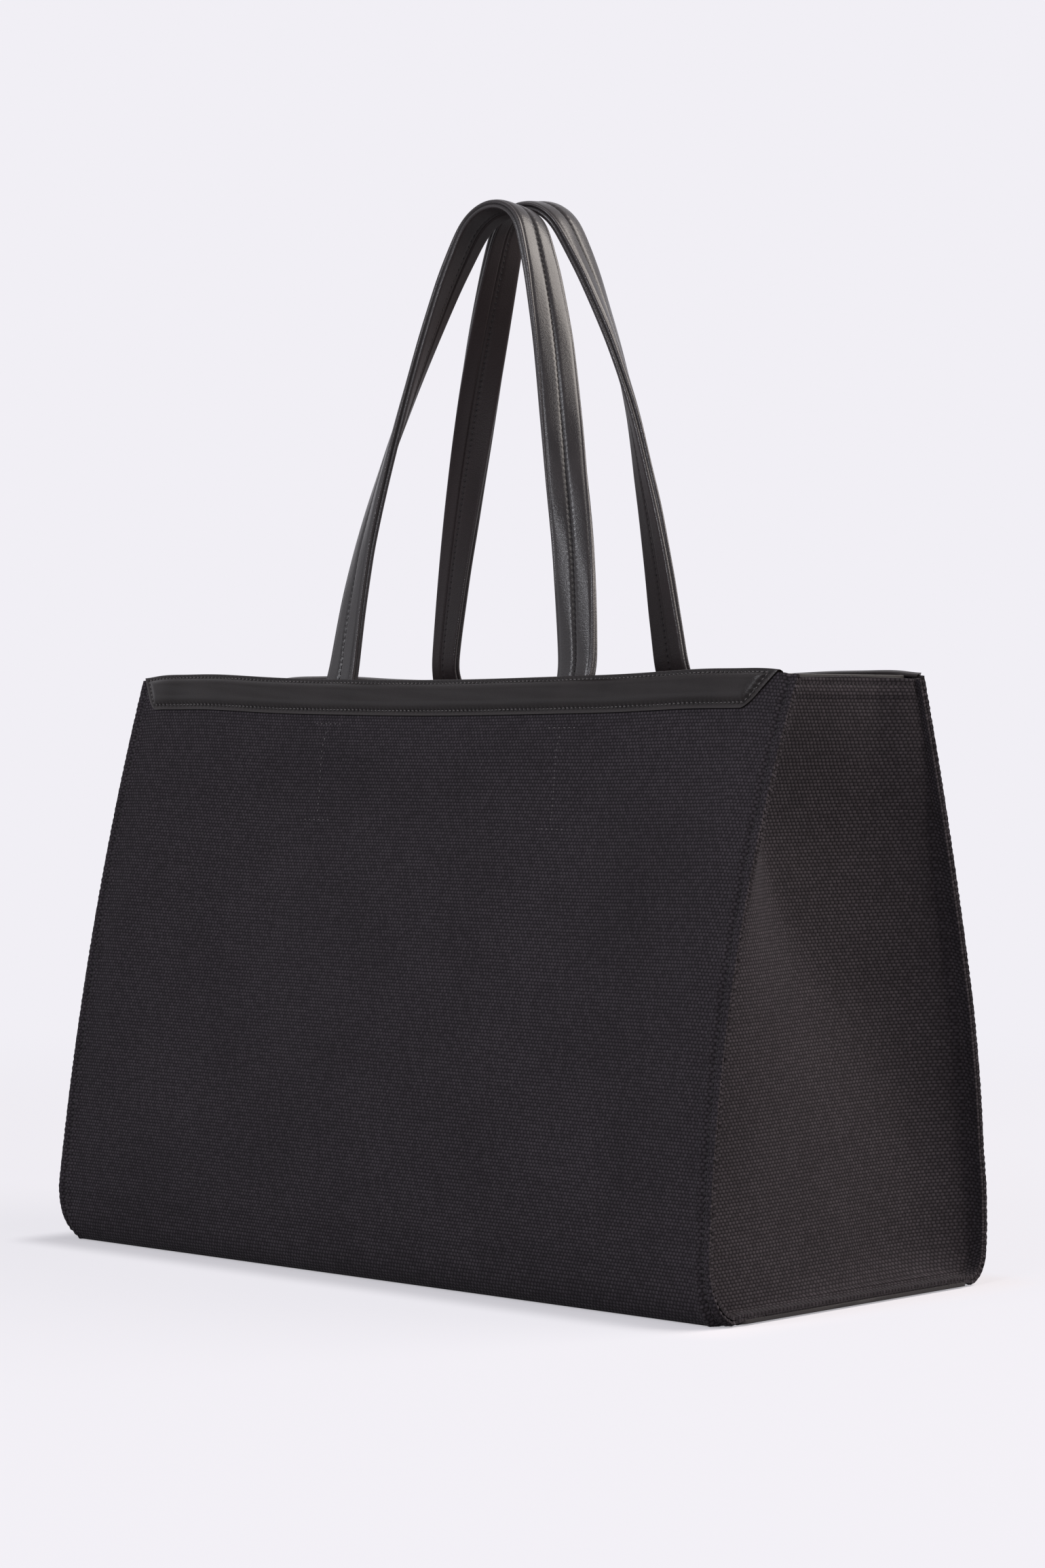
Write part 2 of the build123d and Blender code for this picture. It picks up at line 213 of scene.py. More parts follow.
# Point of a wall layer: side -1 is the front, depth is measured inwards from the canvas face
def wallPlace(side, x, run, depth):
    reach, height, outY, outZ = wallLine(run)
    push = swell(side, x, run) - depth
    y = side * (reach + outY * push)
    z = np.maximum(height + outZ * push + rimRise(x, run), wall["ground"] + np.maximum(depth, 0))
    return np.stack([x, y + backShift(y, height), z], axis=-1)


# Steps along a length, fine in a zone at its start and growing after it
def gradedSteps(length, fine, coarse, zone, growth=1.25):
    steps, step = [0.0], fine
    while steps[-1] < length:
        if steps[-1] >= zone:
            step = min(coarse, step * growth)
        steps.append(steps[-1] + step)
    return np.array(steps) * length / steps[-1]


def bothEnds(length, fine, coarse, zone):
    half = gradedSteps(length / 2, fine, coarse, zone)
    return np.concatenate([half, length - half[-2::-1]])


# Length along a line up to each of its points
def lengthAlong(points):
    leap = np.linalg.norm(np.diff(points, axis=0), axis=1)
    return np.concatenate([[0.0], np.cumsum(leap)])


def spread(values, reach, spots):
    return np.stack([np.interp(spots, reach, values[:, k]) for k in range(3)], axis=-1)


def unit(ways):
    return ways / np.linalg.norm(ways, axis=1, keepdims=True)


# Directions turned square to the line that they belong to
def squareTo(ahead, ways):
    return unit(ways - ahead * np.sum(ways * ahead, axis=1, keepdims=True))


making = {"merge": 0.00001, "roundSegments": 3, "roundAngle": 55.0, "smoothAngle": 50.0}


def activate(piece):
    bpy.ops.object.select_all(action="DESELECT")
    piece.select_set(True)
    bpy.context.view_layer.objects.active = piece


# A grid primitive whose points are then laid on a surface; the UV map holds cloth lengths in metres
def layGrid(name, across, along, place):
    bpy.ops.object.select_all(action="DESELECT")
    bpy.ops.mesh.primitive_grid_add(x_subdivisions=len(across) - 1, y_subdivisions=len(along) - 1, size=1)
    piece = bpy.context.object
    piece.name = piece.data.name = name
    mesh = piece.data
    flat = np.empty(len(mesh.vertices) * 3)
    mesh.vertices.foreach_get("co", flat)
    flat = flat.reshape(-1, 3)
    column = np.rint((flat[:, 0] + 0.5) * (len(across) - 1)).astype(int)
    row = np.rint((flat[:, 1] + 0.5) * (len(along) - 1)).astype(int)
    points, cloth = place(across[column], along[row])
    mesh.vertices.foreach_set("co", (points * mm).ravel())
    corner = np.empty(len(mesh.loops), int)
    mesh.loops.foreach_get("vertex_index", corner)
    mesh.uv_layers[0].name = "cloth"
    mesh.uv_layers[0].data.foreach_set("uv", (cloth * mm)[corner].ravel())
    mesh.update()
    return piece


# Joins the edges that meet, closes open ends and turns the faces outwards
def closeUp(piece, fill=True):
    activate(piece)
    bpy.ops.object.mode_set(mode="EDIT")
    bpy.ops.mesh.select_all(action="SELECT")
    bpy.ops.mesh.remove_doubles(threshold=making["merge"])
    if fill:
        bpy.ops.mesh.fill_holes(sides=0)
        bpy.ops.mesh.select_all(action="SELECT")
        bpy.ops.mesh.normals_make_consistent(inside=False)
    bpy.ops.object.mode_set(mode="OBJECT")


def applyAll(piece):
    activate(piece)
    for modifier in list(piece.modifiers):
        bpy.ops.object.modifier_apply(modifier=modifier.name)


# Gives a sheet its thickness on the inner side and rounds its cut edges
def thicken(piece, thickness, rounding, offset=-1):
    shell = piece.modifiers.new("thickness", "SOLIDIFY")
    shell.thickness = thickness * mm
    shell.offset = offset
    edges = piece.modifiers.new("edges", "BEVEL")
    edges.width = rounding * mm
    edges.segments = making["roundSegments"]
    edges.limit_method = "ANGLE"
    edges.angle_limit = math.radians(making["roundAngle"])
    applyAll(piece)
    closeUp(piece)


def dress(piece, finish, slotName):
    activate(piece)
    bpy.ops.object.shade_smooth_by_angle(angle=math.radians(making["smoothAngle"]))
    piece.data.materials.clear()
    piece.data.materials.append(finish)
    return piece


# Shader values: wraps a socket so that sums of values become Math nodes
class Signal:
    def __init__(self, tree, owner=None, out=0):
        self.tree = tree
        self.owner = owner
        self.socket = owner.outputs[out] if owner and owner.outputs else None

    def node(self, kind, settings=None, sockets=None, out=0):
        made = self.tree.nodes.new("ShaderNode" + kind)
        for name, value in (settings or {}).items():
            setattr(made, name, value)
        for key, value in (sockets or {}).items():
            if isinstance(value, Signal):
                self.tree.links.new(value.socket, made.inputs[key])
            else:
                made.inputs[key].default_value = value
        return Signal(self.tree, made, out)

    def pick(self, out):
        return Signal(self.tree, self.owner, out)

    def feed(self, shader, socket):
        self.tree.links.new(self.socket, shader.inputs[socket])

    def maths(self, operation, first, second=0.0):
        return self.node("Math", {"operation": operation}, {0: first, 1: second})

    def __add__(self, other):
        return self.maths("ADD", self, other)

    def __radd__(self, other):
        return self.maths("ADD", other, self)

    def __sub__(self, other):
        return self.maths("SUBTRACT", self, other)

    def __rsub__(self, other):
        return self.maths("SUBTRACT", other, self)

    def __mul__(self, other):
        return self.maths("MULTIPLY", self, other)

    def __rmul__(self, other):
        return self.maths("MULTIPLY", other, self)

    def __truediv__(self, other):
        return self.maths("DIVIDE", self, other)

    def __mod__(self, other):
        return self.maths("FLOORED_MODULO", self, other)


def linear(part):
    part = part / 255
    return part / 12.92 if part <= 0.04045 else ((part + 0.055) / 1.055) ** 2.4


def shade(red, green, blue):
    return (linear(red), linear(green), linear(blue), 1.0)


def newFinish(name, sockets):
    finish = bpy.data.materials.new(name)
    finish.use_nodes = True
    shader = finish.node_tree.nodes["Principled BSDF"]
    for key, value in sockets.items():
        shader.inputs[key].default_value = value
    return finish, Signal(finish.node_tree), shader


def blendShade(start, share, first, second):
    settings = {"data_type": "RGBA"}
    return start.node("Mix", settings, {0: share, 6: first, 7: second}, out=2)


def roughen(start, height, depth, shader):
    bump = start.node("Bump", {}, {"Strength": 1.0, "Distance": depth * mm, "Height": height})
    bump.feed(shader, "Normal")


# Thick plain weave: rows of oval yarn humps, each row shifted half a hump from the last; the gap tone is
# painted shade between the humps
weaves = {
    "canvas": {
        "yarn": shade(58, 54, 58),
        # gap: painted shade between the yarn humps
        "gap": shade(21, 19, 21),
        "rowPitch": 1.67,
        "humpPitch": 2.04,
        "relief": 0.34,
        "sheen": 0.02,
        "wobble": 0.3,
    },
    "lining": {
        "yarn": shade(52, 48, 50),
        # gap: painted shade between the yarn humps
        "gap": shade(26, 24, 25),
        "rowPitch": 0.55,
        "humpPitch": 0.8,
        "relief": 0.12,
        "sheen": 0.15,
        "wobble": 0.3,
    },
}


def weaveFinish(name):
    weave = weaves[name]
    finish, start, shader = newFinish(
        name, {"Sheen Weight": weave["sheen"], "Sheen Roughness": 0.45, "Specular IOR Level": 0.03}
    )
    cloth = start.node("UVMap", {"uv_map": "cloth"})
    drift = start.node("TexNoise", {}, {"Vector": cloth, "Scale": 190.0, "Detail": 3.0}, out="Color")
    driftParts = start.node("SeparateXYZ", {}, {0: drift})
    clothParts = start.node("SeparateXYZ", {}, {0: cloth})
    wobble = weave["wobble"] * mm
    across = clothParts.pick(0) + (driftParts.pick(0) - 0.5) * (2 * wobble)
    along = clothParts.pick(1) + (driftParts.pick(1) - 0.5) * wobble
    row = along / (weave["rowPitch"] * mm)
    rowNumber = start.maths("FLOOR", row)
    rowLuck = start.node("TexWhiteNoise", {"noise_dimensions": "1D"}, {"W": rowNumber})
    hop = across / (weave["humpPitch"] * mm) + (rowNumber % 2.0) * 0.5 + rowLuck * 0.22
    hopNumber = start.maths("FLOOR", hop)
    upRow = (row - rowNumber) * 2.0 - 1.0
    upHop = (hop - hopNumber) * 2.0 - 1.0
    humps = (1.0 - upRow * upRow * 0.8) * (1.0 - upHop * upHop * 0.9)
    cell = start.node("CombineXYZ", {}, {0: rowNumber, 1: hopNumber})
    yarnLuck = start.node("TexWhiteNoise", {"noise_dimensions": "2D"}, {"Vector": cell})
    fuzz = start.node("TexNoise", {}, {"Vector": cloth, "Scale": 2600.0, "Detail": 3.0})
    cloud = start.node("TexNoise", {}, {"Vector": cloth, "Scale": 16.0, "Detail": 3.0})
    # Painted shade: each hump darkens towards its rim and into the gap tone between humps; yarnLuck, cloud
    # and fuzz add the yarn's own random tone
    light = humps * (0.66 + yarnLuck * 0.48) * (0.6 + cloud * 0.7) * (0.6 + fuzz * 0.8)
    blendShade(start, light, weave["gap"], weave["yarn"]).feed(shader, "Base Color")
    (0.93 - humps * 0.12).feed(shader, "Roughness")
    roughen(start, humps * 0.85 + fuzz * 0.16 + yarnLuck * humps * 0.2, weave["relief"], shader)
    return finish


# Leather: dark and light tone, roughness, depth of the grain, specular level and share of creases
leathers = {
    "strapLeather": (shade(14, 12, 13), shade(36, 32, 33), 0.26, 0.09, 0.28, 0.6),
    "strapBack": (shade(24, 20, 20), shade(42, 35, 36), 0.46, 0.09, 0.14, 0.5),
    "bandLeather": (shade(15, 13, 13), shade(35, 31, 31), 0.3, 0.06, 0.13, 0.3),
    "baseLeather": (shade(18, 16, 16), shade(38, 34, 34), 0.45, 0.06, 0.2, 0.2),
    "facingLeather": (shade(20, 18, 18), shade(36, 32, 32), 0.48, 0.06, 0.2, 0.2),
}
# Near-black painted shade for needle holes, stitched valleys and ply seams
stitchHoleShade = shade(6, 5, 5)


def leatherFinish(name):
    low, high, dull, grain, specular, crease = leathers[name]
    finish, start, shader = newFinish(name, {"Specular IOR Level": specular})
    place = start.node("TexCoord", out="Object")
    cloth = start.node("UVMap", {"uv_map": "cloth"})
    stretched = start.node("VectorMath", {"operation": "MULTIPLY"}, {0: cloth, 1: (0.28, 1.0, 1.0)})
    creases = start.node("TexNoise", {}, {"Vector": stretched, "Scale": 1300.0, "Detail": 2.0})
    cells = {"Vector": place, "Scale": 1250.0, "Smoothness": 0.5}
    pebble = start.node("TexVoronoi", {"feature": "SMOOTH_F1"}, cells)
    fine = start.node("TexNoise", {}, {"Vector": place, "Scale": 2600.0, "Detail": 3.0})
    patch = start.node("TexNoise", {}, {"Vector": place, "Scale": 38.0, "Detail": 4.0, "Roughness": 0.6})
    wearAndHighlight = start.node("Attribute", {"attribute_name": "wearAndHighlight"}, out="Fac")
    pressedShade = start.node("Attribute", {"attribute_name": "pressedShade"}, out="Fac")
    # Edge mark: worn edges painted lighter, as wear and as a painted highlight
    tone = start.node("Clamp", {}, {"Value": patch * 0.75 + fine * 0.25 + wearAndHighlight * 0.8})
    hide = blendShade(start, tone, low, high)
    # Hole mark: painted shade in needle holes, stitched valleys and ply seams, which are also made rougher
    sunk = start.node("Clamp", {}, {"Value": pressedShade * 0.9})
    blendShade(start, sunk, hide, stitchHoleShade).feed(shader, "Base Color")
    rough = dull + (patch - 0.5) * 0.2 + pebble * 0.08 - wearAndHighlight * 0.05 + pressedShade * 0.3
    rough.feed(shader, "Roughness")
    roughen(start, pebble * 0.6 + fine * 0.3 + creases * crease, grain, shader)
    return finish


threads = {
    "blackThread": shade(30, 27, 29),
    # dark thread painted light grey, as a painted highlight of its sheen on the bands
    "sheenPaintedThread": shade(104, 100, 100),
    "paleThread": shade(124, 120, 121),
}
threadShadow = shade(8, 7, 8)


def threadFinish(name):
    finish, start, shader = newFinish(name, {"Specular IOR Level": 0.2})
    place = start.node("TexCoord", out="Object")
    twist = start.node("TexNoise", {}, {"Vector": place, "Scale": 2200.0, "Detail": 2.0})
    blendShade(start, twist, threadShadow, threads[name]).feed(shader, "Base Color")
    (0.45 + twist * 0.25).feed(shader, "Roughness")
    roughen(start, twist, 0.12, shader)
    return finish


def boardFinish(name, low, high):
    finish, start, shader = newFinish(name, {"Specular IOR Level": 0.3})
    place = start.node("TexCoord", out="Object")
    fibre = start.node("TexNoise", {}, {"Vector": place, "Scale": 420.0, "Detail": 5.0})
    blendShade(start, fibre, low, high).feed(shader, "Base Color")
    (0.75 + fibre * 0.15).feed(shader, "Roughness")
    roughen(start, fibre, 0.1, shader)
    return finish


canvasCloth = weaveFinish("canvas")
liningCloth = weaveFinish("lining")
strapLeather = leatherFinish("strapLeather")
strapBack = leatherFinish("strapBack")
bandLeather = leatherFinish("bandLeather")
baseLeather = leatherFinish("baseLeather")
facingLeather = leatherFinish("facingLeather")
blackThread = threadFinish("blackThread")
sheenPaintedThread = threadFinish("sheenPaintedThread")
paleThread = threadFinish("paleThread")
boardFibre = boardFinish("boardFibre", shade(70, 62, 52), shade(112, 100, 84))
print("finishes made")

# One stitch, and rows of copies of it along a line on a surface
stitch = {
    "length": 2.3,
    "width": 0.8,
    "height": 0.62,
    "dip": 0.42,
    "sides": 6,
    "rings": 6,
    "glance": 0.4,  # a row's direction is taken this far each way
}


# A face begun at one set corner, with its diagonal left where it is
def steadyFace(face):
    step = 2 if len(face) == 4 else 1
    return min(face[k:] + face[:k] for k in range(0, len(face), step))


def modelStitch():
    bpy.ops.object.select_all(action="DESELECT")
    sides, rings = stitch["sides"], stitch["rings"]
    bpy.ops.mesh.primitive_uv_sphere_add(segments=sides, ring_count=rings, radius=0.5)
    sample = bpy.context.object
    ball = np.array([vertex.co for vertex in sample.data.vertices])
    order = np.lexsort(np.round(ball, 5).T)  # the sphere's own order changes from run to run
    rank = np.argsort(order).tolist()
    faces = sorted(steadyFace([rank[i] for i in face.vertices]) for face in sample.data.polygons)
    bpy.data.objects.remove(sample)
    along, across, up = ball[order, 2], ball[order, 0], ball[order, 1]
    arched = up * stitch["height"] - stitch["dip"] * (2 * along) ** 2
    return np.stack([along * stitch["length"], across * stitch["width"], arched], axis=-1), faces


stitchShape, stitchFaces = modelStitch()


# Distance between stitches that fits a whole number of them on a length
def fitPitch(length, pitch):
    return length / max(1, round(length / pitch))


def sewRow(name, points, normals, pitch, sink=0.0, scale=1.0):
    reach = lengthAlong(points)
    number = max(1, round(reach[-1] / pitch))
    spots = (np.arange(number) + 0.5) * reach[-1] / number
    centre = spread(points, reach, spots)
    ahead = spread(points, reach, np.minimum(spots + stitch["glance"], reach[-1]))
    ahead = unit(ahead - spread(points, reach, np.maximum(spots - stitch["glance"], 0)))
    up = squareTo(ahead, spread(normals, reach, spots))
    sideways = np.cross(up, ahead)
    shape = stitchShape * scale
    place = centre[:, None, :] - up[:, None, :] * sink
    place = place + ahead[:, None, :] * shape[None, :, 0:1]
    place = place + sideways[:, None, :] * shape[None, :, 1:2] + up[:, None, :] * shape[None, :, 2:3]
    size = len(stitchShape)
    faces = [tuple(i + size * k for i in face) for k in range(number) for face in stitchFaces]
    mesh = bpy.data.meshes.new(name)
    mesh.from_pydata((place.reshape(-1, 3) * mm).tolist(), [], faces)
    mesh.update()
    row = bpy.data.objects.new(name, mesh)
    bpy.context.scene.collection.objects.link(row)
    closeUp(row)
    return row


def sewOnBag(name, points, normals, pitch, thread, slotName, sink=0.0, scale=1.0):
    row = sewRow(name, points, normals, pitch, sink, scale)
    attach(dress(row, thread, slotName), "bag")


# A row on the outer face of a canvas wall
def sewOnWall(name, side, x, run, pitch, thread, sink, scale):
    line = wallPlace(side, x, run, 0.0)
    normals = wallPlace(side, x, run, -1.0) - line
    sewOnBag(name, line, normals, pitch, thread, "canvas", sink, scale)


# Canvas walls, rolled at their seams, with a sewn groove beside each edge
panel = {
    "rowStep": 0.8,
    "edgeStep": 0.6,
    "middleStep": 9.0,
    "edgeZone": 12.0,
    "seamIn": 4.6,  # seam stitches from the side edge
    "seamPitch": 3.0,
    "grooveDepth": 1.25,
    "grooveWidth": 1.15,
    "grooveBeat": 0.3,  # share that comes and goes with the stitches
    "lipRise": 0.5,
    "lipAt": (1.9, 1.7),
    "innerRise": 0.85,
    "innerAt": (7.8, 1.9),
    "puffFrom": (8.0, 8.0),
    "lump": 0.28,  # puffed canvas between the seam's stitches
    "edgeBump": 0.17,
    "edgeBumpPitch": 3.3,
    "edgeBumpFrom": (0.99, 0.01),
    "rounding": 0.7,
    "seamFoot": 22.0,  # seam stitches start this far up the run
    "seamHead": 3.0,
    "seamSink": 0.45,
    "stitchScale": 0.95,
}
seamStart, seamEnd = panel["seamFoot"], rimRun - panel["seamHead"]
seamPitch = fitPitch(seamEnd - seamStart, panel["seamPitch"])


def panelDent(x, run):
    edge = halfSide(wallLine(run)[1]) - np.abs(x)
    beat = np.cos(2 * math.pi * (run - seamStart) / seamPitch)
    groove = panel["grooveDepth"] * hump(edge, panel["seamIn"], panel["grooveWidth"])
    groove = groove * (1 - panel["grooveBeat"] + panel["grooveBeat"] * beat)
    uneven = 1 + 0.35 * np.sin(run / 7.3 + x / 90) + 0.25 * np.sin(run / 3.1)
    lump = panel["lump"] * beat * uneven
    lip = (panel["lipRise"] - lump) * hump(edge, *panel["lipAt"])
    inner = (panel["innerRise"] - lump) * hump(edge, *panel["innerAt"])
    return (lip + inner) * climb(run, *panel["puffFrom"]) - groove


def makePanel(name, side):
    edge = bothEnds(2.0 * halfLength, panel["edgeStep"], panel["middleStep"], panel["edgeZone"])
    share = edge / halfLength - 1.0
    runs = np.linspace(0.0, rimRun, int(rimRun / panel["rowStep"]) + 1)

    def place(across, run):
        height = wallLine(run)[1]
        ripple = np.sin(2 * math.pi * run / panel["edgeBumpPitch"])
        ripple = ripple + 0.6 * np.sin(run / 1.31 + 2 * np.sin(run / 9))
        bump = panel["edgeBump"] * ripple * climb(np.abs(across), *panel["edgeBumpFrom"])
        x = -side * across * (halfSide(height) + bump)
        return wallPlace(side, x, run, -panelDent(x, run)), np.stack([x, run], axis=-1)

    piece = layGrid(name, share, runs, place)
    thicken(piece, ply["canvas"], panel["rounding"])
    return dress(piece, canvasCloth, "canvas")


for word, side in walls.items():
    canvasWall = makePanel(word + "_canvas_wall", side)
    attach(canvasWall, "bag")
    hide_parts(word + "_panel")
    for sideWord, hand in ends.items():
        runs = np.linspace(seamStart, seamEnd, 400)
        x = hand * (halfSide(wallLine(runs)[1]) - panel["seamIn"])
        name = f"{word}_{sideWord}_seam_stitches"
        pitch, sink, scale = panel["seamPitch"], panel["seamSink"], panel["stitchScale"]
        sewOnWall(name, side, x, runs, pitch, blackThread, sink, scale)
print("canvas walls sewn")

# Gussets: a flange behind the wall's edge turns into a dished web
gusset = {
    "drop": 0.5,  # top edge below the canvas rim
    "flange": 7.0,
    "flangeInset": 0.5,
    "backTuck": 4.2,  # the flange is this much narrower at the top of the back wall
    "tuckBackFrom": (0.4, 0.55),
    "tuckHighFrom": (190.0, 90.0),
    "turn": 2.4,
    "flangeRows": (0.0, 0.4, 1.0, 2.0, 3.2),
    "edgeSteps": (1.0, 2.2, 14.0),
    "baseColumns": 58,
    "dish": 18.0,
    "rimDish": 1.0,
    "dishRise": 85.0,
    "dishFall": (0.6, 150.0, 20.0),  # shallower again towards the base: share, from, to
    "foldShare": (0.15, 0.63),  # the deepest line runs from the front at the top to the back below
    "foldFrom": 265.0,
    "foldRun": 190.0,
    "curve": 2.3,
    "baseCurve": 20.0,
    "sway": 0.5,
    "spineLow": 62.0,
    "liftFrom": 60.0,
    "hemDepth": 9.0,
    "hemRise": 0.7,
    "hemFade": 2.0,
    "hemSewn": 4.0,
    "hemGroove": 0.55,
    "hemGrooveWidth": 1.1,
    "hemEnds": 5.5,
    "hemPitch": 3.0,
    "hemSink": 0.1,
    "rounding": 0.6,
    "webRows": 26,
    "webPower": 1.35,
    "weaveOpen": 0.78,  # the weave is drawn wider here than on the walls
}
gussetTop = canvasTop - gusset["drop"]
hemLine = gussetTop - gusset["hemSewn"]
flangeDepth = 2 * ply["canvas"]
webFloor = ply["base"] + flangeDepth


def webReach(height):
    return np.maximum(halfDepth(np.minimum(height, canvasTop)) - flangeDepth, 1.0)


# How far the web is drawn in from its flange
def webDraw(y, height):
    across = np.clip((1 + y / webReach(height)) / 2, 0, 1)
    first, more = gusset["foldShare"]
    fold = first + more * ease((gusset["foldFrom"] - height) / gusset["foldRun"])
    profile = np.where(across < fold, ease(across / fold), 1 - ((across - fold) / (1 - fold)) ** 2)
    upward = np.clip((height - webFloor) / gusset["baseCurve"], 0, 1)
    fall, fallFrom, fallTo = gusset["dishFall"]
    shallow = 1 - fall * np.clip((fallFrom - height) / (fallFrom - fallTo), 0, 1)
    deep = gusset["dish"] * ease((gussetTop - height) / gusset["dishRise"]) * shallow
    deep = gusset["rimDish"] + deep
    sway = gusset["sway"] * np.sin(height / 33 + y / 40)
    return (deep + sway) * profile * (1 - (1 - upward) ** gusset["curve"])


def hemRise(height):
    below = gussetTop - height
    fold = gusset["hemRise"] * (1 - climb(below, gusset["hemDepth"], gusset["hemFade"]))
    return fold - gusset["hemGroove"] * hump(below, gusset["hemSewn"], gusset["hemGrooveWidth"])


def flangeAt(y, height):
    near = climb(y / webReach(height), *gusset["tuckBackFrom"])
    high = climb(height, *gusset["tuckHighFrom"])
    return gusset["flange"] - gusset["backTuck"] * near * high


def webX(y, height):
    return halfSide(height) - flangeAt(y, height) - webDraw(y, height) + hemRise(height)


# The edge of a gusset as one U: down the front wall, along the base and up the back wall
def gussetEdge():
    topRun = float(runAt(gussetTop))
    runs = topRun - gradedSteps(topRun - wall["lap"], *gusset["edgeSteps"])
    floor = np.linspace(-halfBase, halfBase, gusset["baseColumns"])[1:-1]
    reach, height, outY, outZ = wallLine(runs)
    sunk = sagAt(runs, 0.0)
    reach, height = reach + outY * sunk, np.maximum(height + outZ * sunk, wall["ground"])
    y = np.concatenate([-reach, floor, reach[::-1]])
    z = np.concatenate([height, np.full(len(floor), ply["base"]), height[::-1]])
    normalY = np.concatenate([-outY, 0 * floor, outY[::-1]])
    normalZ = np.concatenate([outZ, 0 * floor - 1, outZ[::-1]])
    way = lengthAlong(np.stack([y, z], axis=-1))
    half = np.minimum(way, way[-1] - way) / (way[-1] / 2)
    spine = gussetTop + (gusset["spineLow"] - gussetTop) * half
    return y, z, normalY, normalZ, spine


def makeGusset(name, hand):
    edgeY, edgeZ, normalY, normalZ, spine = gussetEdge()
    inset, turn = gusset["flangeInset"], gusset["turn"]
    flangeRun = gusset["flange"] - inset
    flangeRows = np.array([*gusset["flangeRows"], flangeRun - turn])
    turnRows = np.linspace(0, math.pi / 2, 5)[1:]
    webRows = (np.arange(1, gusset["webRows"] + 1) / gusset["webRows"]) ** gusset["webPower"]
    firstWeb = len(flangeRows) + len(turnRows)
    rows = np.arange(firstWeb + len(webRows))
    columns = np.arange(len(edgeY))[::hand]

    def place(column, row):
        onFlange, onWeb = row < len(flangeRows), row >= firstWeb
        startY = edgeY[column] - normalY[column] * flangeDepth
        startZ = edgeZ[column] - normalZ[column] * flangeDepth
        turnAt = np.clip(row - len(flangeRows), 0, len(turnRows) - 1)
        webAt = np.clip(row - firstWeb, 0, len(webRows) - 1)
        angle = np.where(onFlange, 0.0, turnRows[turnAt])
        toY, toZ = -startY, spine[column] - startZ
        span = np.hypot(toY, toZ)
        inward = np.where(onWeb, turn + (span - turn) * webRows[webAt], turn * (1 - np.cos(angle)))
        y, z = startY + toY / span * inward, startZ + toZ / span * inward
        fromEdge = flangeRows[np.clip(row, 0, len(flangeRows) - 1)]
        fromEdge = np.where(onFlange, fromEdge, flangeRows[-1] + turn * np.sin(angle))
        narrow = (flangeAt(y, z) - inset) / flangeRun
        x = np.where(onWeb, webX(y, z), halfSide(z) - inset - fromEdge * narrow)
        out = np.maximum(flangeRun - fromEdge, 0) * ~onWeb
        clothY = (y + normalY[column] * out) * gusset["weaveOpen"]
        cloth = np.stack([clothY, z + normalZ[column] * out], axis=-1)
        liftRun = runAt(np.clip(z, gusset["liftFrom"], canvasTop))
        lift = rimRise(np.full_like(z, halfLength), liftRun) * (z > gusset["liftFrom"])
        return np.stack([hand * x, y + backShift(y, z), z + lift], axis=-1), cloth

    piece = layGrid(name, columns, rows, place)
    closeUp(piece, fill=False)
    thicken(piece, ply["canvas"], gusset["rounding"])
    return dress(piece, canvasCloth, "canvas")


for sideWord, hand in ends.items():
    canvasGusset = makeGusset(sideWord + "_canvas_gusset", hand)
    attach(canvasGusset, "bag")
    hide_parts(sideWord + "_gusset")
    y = np.linspace(-1, 1, 80) * (halfDepth(hemLine) - gusset["hemEnds"])
    z = np.full_like(y, hemLine)
    lift = float(rimRise(np.array([halfLength]), np.array([rimRun]))[0])
    line = np.stack([hand * webX(y, z), y + backShift(y, z), z + lift], axis=-1)
    normals = np.tile([hand, 0.0, 0.0], (len(y), 1))
    name, pitch, sink = sideWord + "_hem_stitches", gusset["hemPitch"], gusset["hemSink"]
    sewOnBag(name, line, normals, pitch, blackThread, "canvas", sink)
print("gussets sewn")

# Leather base with turned edges, and the canvas turned in between it and each gusset
base = {
    "halfLength": 230.0,
    "halfWidth": 84.0,  # under the sagging roll
    "endWidth": 86.8,  # front corners, seen under a gusset
    "endLength": 12.0,
    "corner": 3.0,
    "edge": 0.75,
    "lip": 0.7,  # thicker turned edge under each gusset
    "lipWidth": 4.0,
    "lipRun": 2.0,
    "lengthSteps": (0.4, 12.0, 14.0),
    "widthSteps": (0.02, 0.2, 0.1),
    "turnInWidth": 16.0,
    "turnInReach": 69.0,
    "turnInRounding": 0.35,
}


def makeBase():
    x = bothEnds(2 * base["halfLength"], *base["lengthSteps"]) - base["halfLength"]
    share = bothEnds(2.0, *base["widthSteps"]) - 1.0

    def place(x, share):
        pastEnd = np.abs(x) - base["halfLength"]
        flare = ease((pastEnd + base["endLength"]) / base["endLength"])
        half = base["halfWidth"] + (base["endWidth"] - base["halfWidth"]) * flare * (share < 0)
        nearEnd = np.clip(pastEnd + base["corner"], 0, base["corner"])
        half = half - base["corner"] + np.sqrt(base["corner"] ** 2 - nearEnd**2)
        z = ply["base"] + base["lip"] * ease((pastEnd + base["lipWidth"]) / base["lipRun"])
        return np.stack([x, share * half, z], axis=-1), np.stack([x, share * half], axis=-1)

    piece = layGrid("leather_base", x, share, place)
    thicken(piece, ply["base"], base["edge"])
    return dress(piece, baseLeather, "leather")


leatherBase = makeBase()
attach(leatherBase, "bag")
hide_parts("base_panel")
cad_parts["base_board"].data.materials.clear()
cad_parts["base_board"].data.materials.append(boardFibre)

